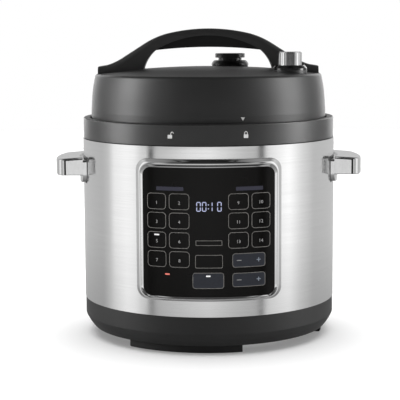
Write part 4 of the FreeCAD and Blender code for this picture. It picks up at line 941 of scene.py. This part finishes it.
# Softboxes for the mouldings on either side: turn from the camera in degrees, and watts.
STRIPS = ((82.0, 11.8), (150.0, 2.4))
STRIP_SIZE = (0.5, 0.8)
STRIP_HEIGHT = 0.5
STRIP_DISTANCE = 1.2
STRIP_AIM = (0.0, 0.0, 0.2)
STRIP_SLOTS = ("base_plastic", "grip_plastic", "rubber", "valve_plastic")

# Soft panels round the cooker as (turn from the camera in degrees, level), left to right: a softbox on either
# side, a wide front fill, a narrow dark gap between each softbox and the fill, and a dim room behind.
SURROUND = (
    (-180.0, 0.6),
    (-112.0, 0.5),
    (-102.0, 0.6),
    (-95.0, 0.95),
    (-80.0, 1.05),
    (-70.0, 1.0),
    (-62.0, 0.7),
    (-57.0, 0.7),
    (-54.5, 0.1),
    (-51.5, 0.1),
    (-48.5, 0.55),
    (-15.0, 0.95),
    (0.0, 1.0),
    (15.0, 0.85),
    (44.0, 0.55),
    (47.0, 0.05),
    (49.5, 0.05),
    (53.0, 0.8),
    (77.0, 1.2),
    (92.0, 0.8),
    (110.0, 0.55),
    (180.0, 0.6),
)
# The same near the floor, where the softboxes reach lower than the fill and the gaps close up.
LOW_SURROUND = (
    (-180.0, 0.6),
    (-112.0, 0.5),
    (-100.0, 0.8),
    (-80.0, 1.3),
    (-70.0, 1.2),
    (-60.0, 0.85),
    (-54.0, 0.4),
    (-46.0, 0.65),
    (0.0, 0.88),
    (25.0, 0.68),
    (44.0, 0.6),
    (48.0, 0.3),
    (53.0, 0.92),
    (77.0, 1.1),
    (92.0, 0.75),
    (110.0, 0.55),
    (180.0, 0.6),
)
# Heights are sines of the angle over the horizon: first where the lower panels give way to the upper ones.
LOW_SINE = (-0.21, -0.15)
# Share of the panels' light by height, with a dim floor edge and a dark ceiling.
HEIGHT_SHARE = (
    (-1.0, 0.3),
    (-0.5, 0.42),
    (-0.21, 0.68),
    (-0.15, 1.0),
    (0.5, 1.0),
    (0.75, 0.3),
    (1.0, 0.2),
)
# Dark room behind the camera: its share of light, half width in degrees where it fades, and height where it
# starts.
DARK_ROOM_LEVEL = 0.1
DARK_ROOM_HALF = (36.0, 46.0)
DARK_ROOM_SINE = (-0.07, -0.035)


def ramp_over(tree, factor, stops):
    """Piecewise straight curve of grey levels over a factor, as stops of (place, level)."""
    low = stops[0][0]
    high = stops[-1][0]
    share = spread(tree, factor, 0.0, 1.0, low, high)
    ramp = put(tree, "ShaderNodeValToRGB", {"Fac": share})
    elements = ramp.color_ramp.elements
    elements[0].color = grey(stops[0][1])
    elements[1].color = grey(stops[-1][1])
    for place, level in stops[1:-1]:
        elements.new((place - low) / (high - low)).color = grey(level)
    return ramp.outputs["Color"]


def build_world():
    """White to the camera, and a ring of soft panels for everything else."""
    world = bpy.data.worlds.new("studio")
    bpy.context.scene.world = world
    world.use_nodes = True
    tree = world.node_tree
    tree.nodes.clear()
    direction = put(tree, "ShaderNodeTexCoord").outputs["Generated"]
    parts = put(tree, "ShaderNodeSeparateXYZ", {"Vector": direction})
    x, y, sine = (parts.outputs[axis] for axis in "XYZ")
    turn = reckon(tree, "DEGREES", reckon(tree, "ARCTAN2", x, reckon(tree, "MULTIPLY", y, -1.0)))
    lower = spread(tree, sine, 1.0, 0.0, *LOW_SINE)
    rings = {"Factor": lower, "A": ramp_over(tree, turn, SURROUND), "B": ramp_over(tree, turn, LOW_SURROUND)}
    panels = put(tree, "ShaderNodeMix", rings).outputs["Result"]
    height = ramp_over(tree, sine, HEIGHT_SHARE)
    behind = spread(tree, reckon(tree, "ABSOLUTE", turn), 1.0, 0.0, *DARK_ROOM_HALF)
    above = spread(tree, sine, 0.0, 1.0, *DARK_ROOM_SINE)
    room = spread(tree, reckon(tree, "MULTIPLY", behind, above), 1.0, DARK_ROOM_LEVEL, 0.0, 1.0)
    level = reckon(tree, "MULTIPLY", reckon(tree, "MULTIPLY", panels, height), room)
    soft = put(tree, "ShaderNodeBackground", {"Color": grey(1.0), "Strength": level})
    white = put(tree, "ShaderNodeBackground", {"Color": grey(1.0), "Strength": 1.0})
    seen = put(tree, "ShaderNodeLightPath").outputs["Is Camera Ray"]
    mixed = put(tree, "ShaderNodeMixShader", {0: seen, 1: soft.outputs[0], 2: white.outputs[0]})
    put(tree, "ShaderNodeOutputWorld", {"Surface": mixed.outputs[0]})


def build_floor():
    """Pale floor that keeps the shadow and lets metal see the surround through it."""
    bpy.ops.mesh.primitive_circle_add(vertices=FLOOR_CORNERS, radius=FLOOR_RADIUS, fill_type="NGON")
    floor = bpy.context.object
    floor.name = "floor"
    material, tree = new_material("floor white")
    matte = put(tree, "ShaderNodeBsdfDiffuse", {"Color": grey(FLOOR_LEVEL)})
    glow = put(tree, "ShaderNodeEmission", {"Color": grey(1.0), "Strength": 1.0})
    clear = put(tree, "ShaderNodeBsdfTransparent")
    path = put(tree, "ShaderNodeLightPath")
    lift = reckon(tree, "MULTIPLY", path.outputs["Is Camera Ray"], FLOOR_GLOW)
    lifted = put(tree, "ShaderNodeMixShader", {0: lift, 1: matte.outputs[0], 2: glow.outputs[0]})
    through = reckon(tree, "MAXIMUM", path.outputs["Is Glossy Ray"], path.outputs["Is Transmission Ray"])
    mixed = put(tree, "ShaderNodeMixShader", {0: through, 1: lifted.outputs[0], 2: clear.outputs[0]})
    put(tree, "ShaderNodeOutputMaterial", {"Surface": mixed.outputs[0]})
    floor.data.materials.append(material)
    return floor


def add_lamp(name, data, objects):
    """Put a lamp in the scene that lights these objects and nothing else."""
    lamp = bpy.data.objects.new(name, data)
    bpy.context.scene.collection.objects.link(lamp)
    group = bpy.data.collections.new(f"{name} lit")
    for item in objects:
        group.objects.link(item)
    lamp.light_linking.receiver_collection = group
    return lamp


def build_sun(floor):
    sun = bpy.data.lights.new("overhead", "SUN")
    sun.energy = SUN_STRENGTH
    sun.angle = math.radians(SUN_SPREAD)
    add_lamp("overhead", sun, [floor]).rotation_euler = (math.radians(SUN_TILT), 0.0, 0.0)


def build_strips():
    """Softboxes on both sides that light the outer mouldings alone."""
    finishes = [MATERIALS[slot] for slot in STRIP_SLOTS] + list(OWN_PLASTICS.values())
    mouldings = []
    for node in NODES.values():
        if node.material_slots and node.material_slots[0].material in finishes:
            mouldings.append(node)
    for turn, power in STRIPS:
        for side, word in SIDES:
            name = f"strip_{word}_{turn:.0f}"
            softbox = bpy.data.lights.new(name, "AREA")
            softbox.shape = "RECTANGLE"
            softbox.size, softbox.size_y = STRIP_SIZE
            softbox.energy = power
            angle = math.radians(turn * side)
            x = STRIP_DISTANCE * math.sin(angle)
            place = Vector((x, -STRIP_DISTANCE * math.cos(angle), STRIP_HEIGHT))
            strip = add_lamp(name, softbox, mouldings)
            strip.location = place
            strip.rotation_euler = (Vector(STRIP_AIM) - place).to_track_quat("-Z", "Y").to_euler()


def build_camera():
    data = bpy.data.cameras.new("photo_camera")
    data.sensor_width = SENSOR
    data.lens = FOCAL_PIXELS * SENSOR / IMAGE_SIDE
    camera = bpy.data.objects.new("photo_camera", data)
    camera.location = (0.0, -CAMERA_DISTANCE, CAMERA_HEIGHT)
    centre = IMAGE_SIDE / 2.0
    pitch = math.atan((centre - HORIZON_ROW) / FOCAL_PIXELS)
    pan = math.atan((AXIS_COLUMN - centre) / FOCAL_PIXELS)
    camera.rotation_euler = (math.pi / 2.0 - pitch, CAMERA_ROLL, pan)
    bpy.context.scene.collection.objects.link(camera)
    bpy.context.scene.camera = camera


dress_nodes()
panel_frame()
panel_gap()
print_keys()
print_display()
print_signs()
valve_seat()
dial_knob()
handle_hoods()
handle_joints()
handle_pads()
build_world()
build_sun(build_floor())
build_strips()
build_camera()
bpy.context.scene.view_settings.view_transform = "Standard"
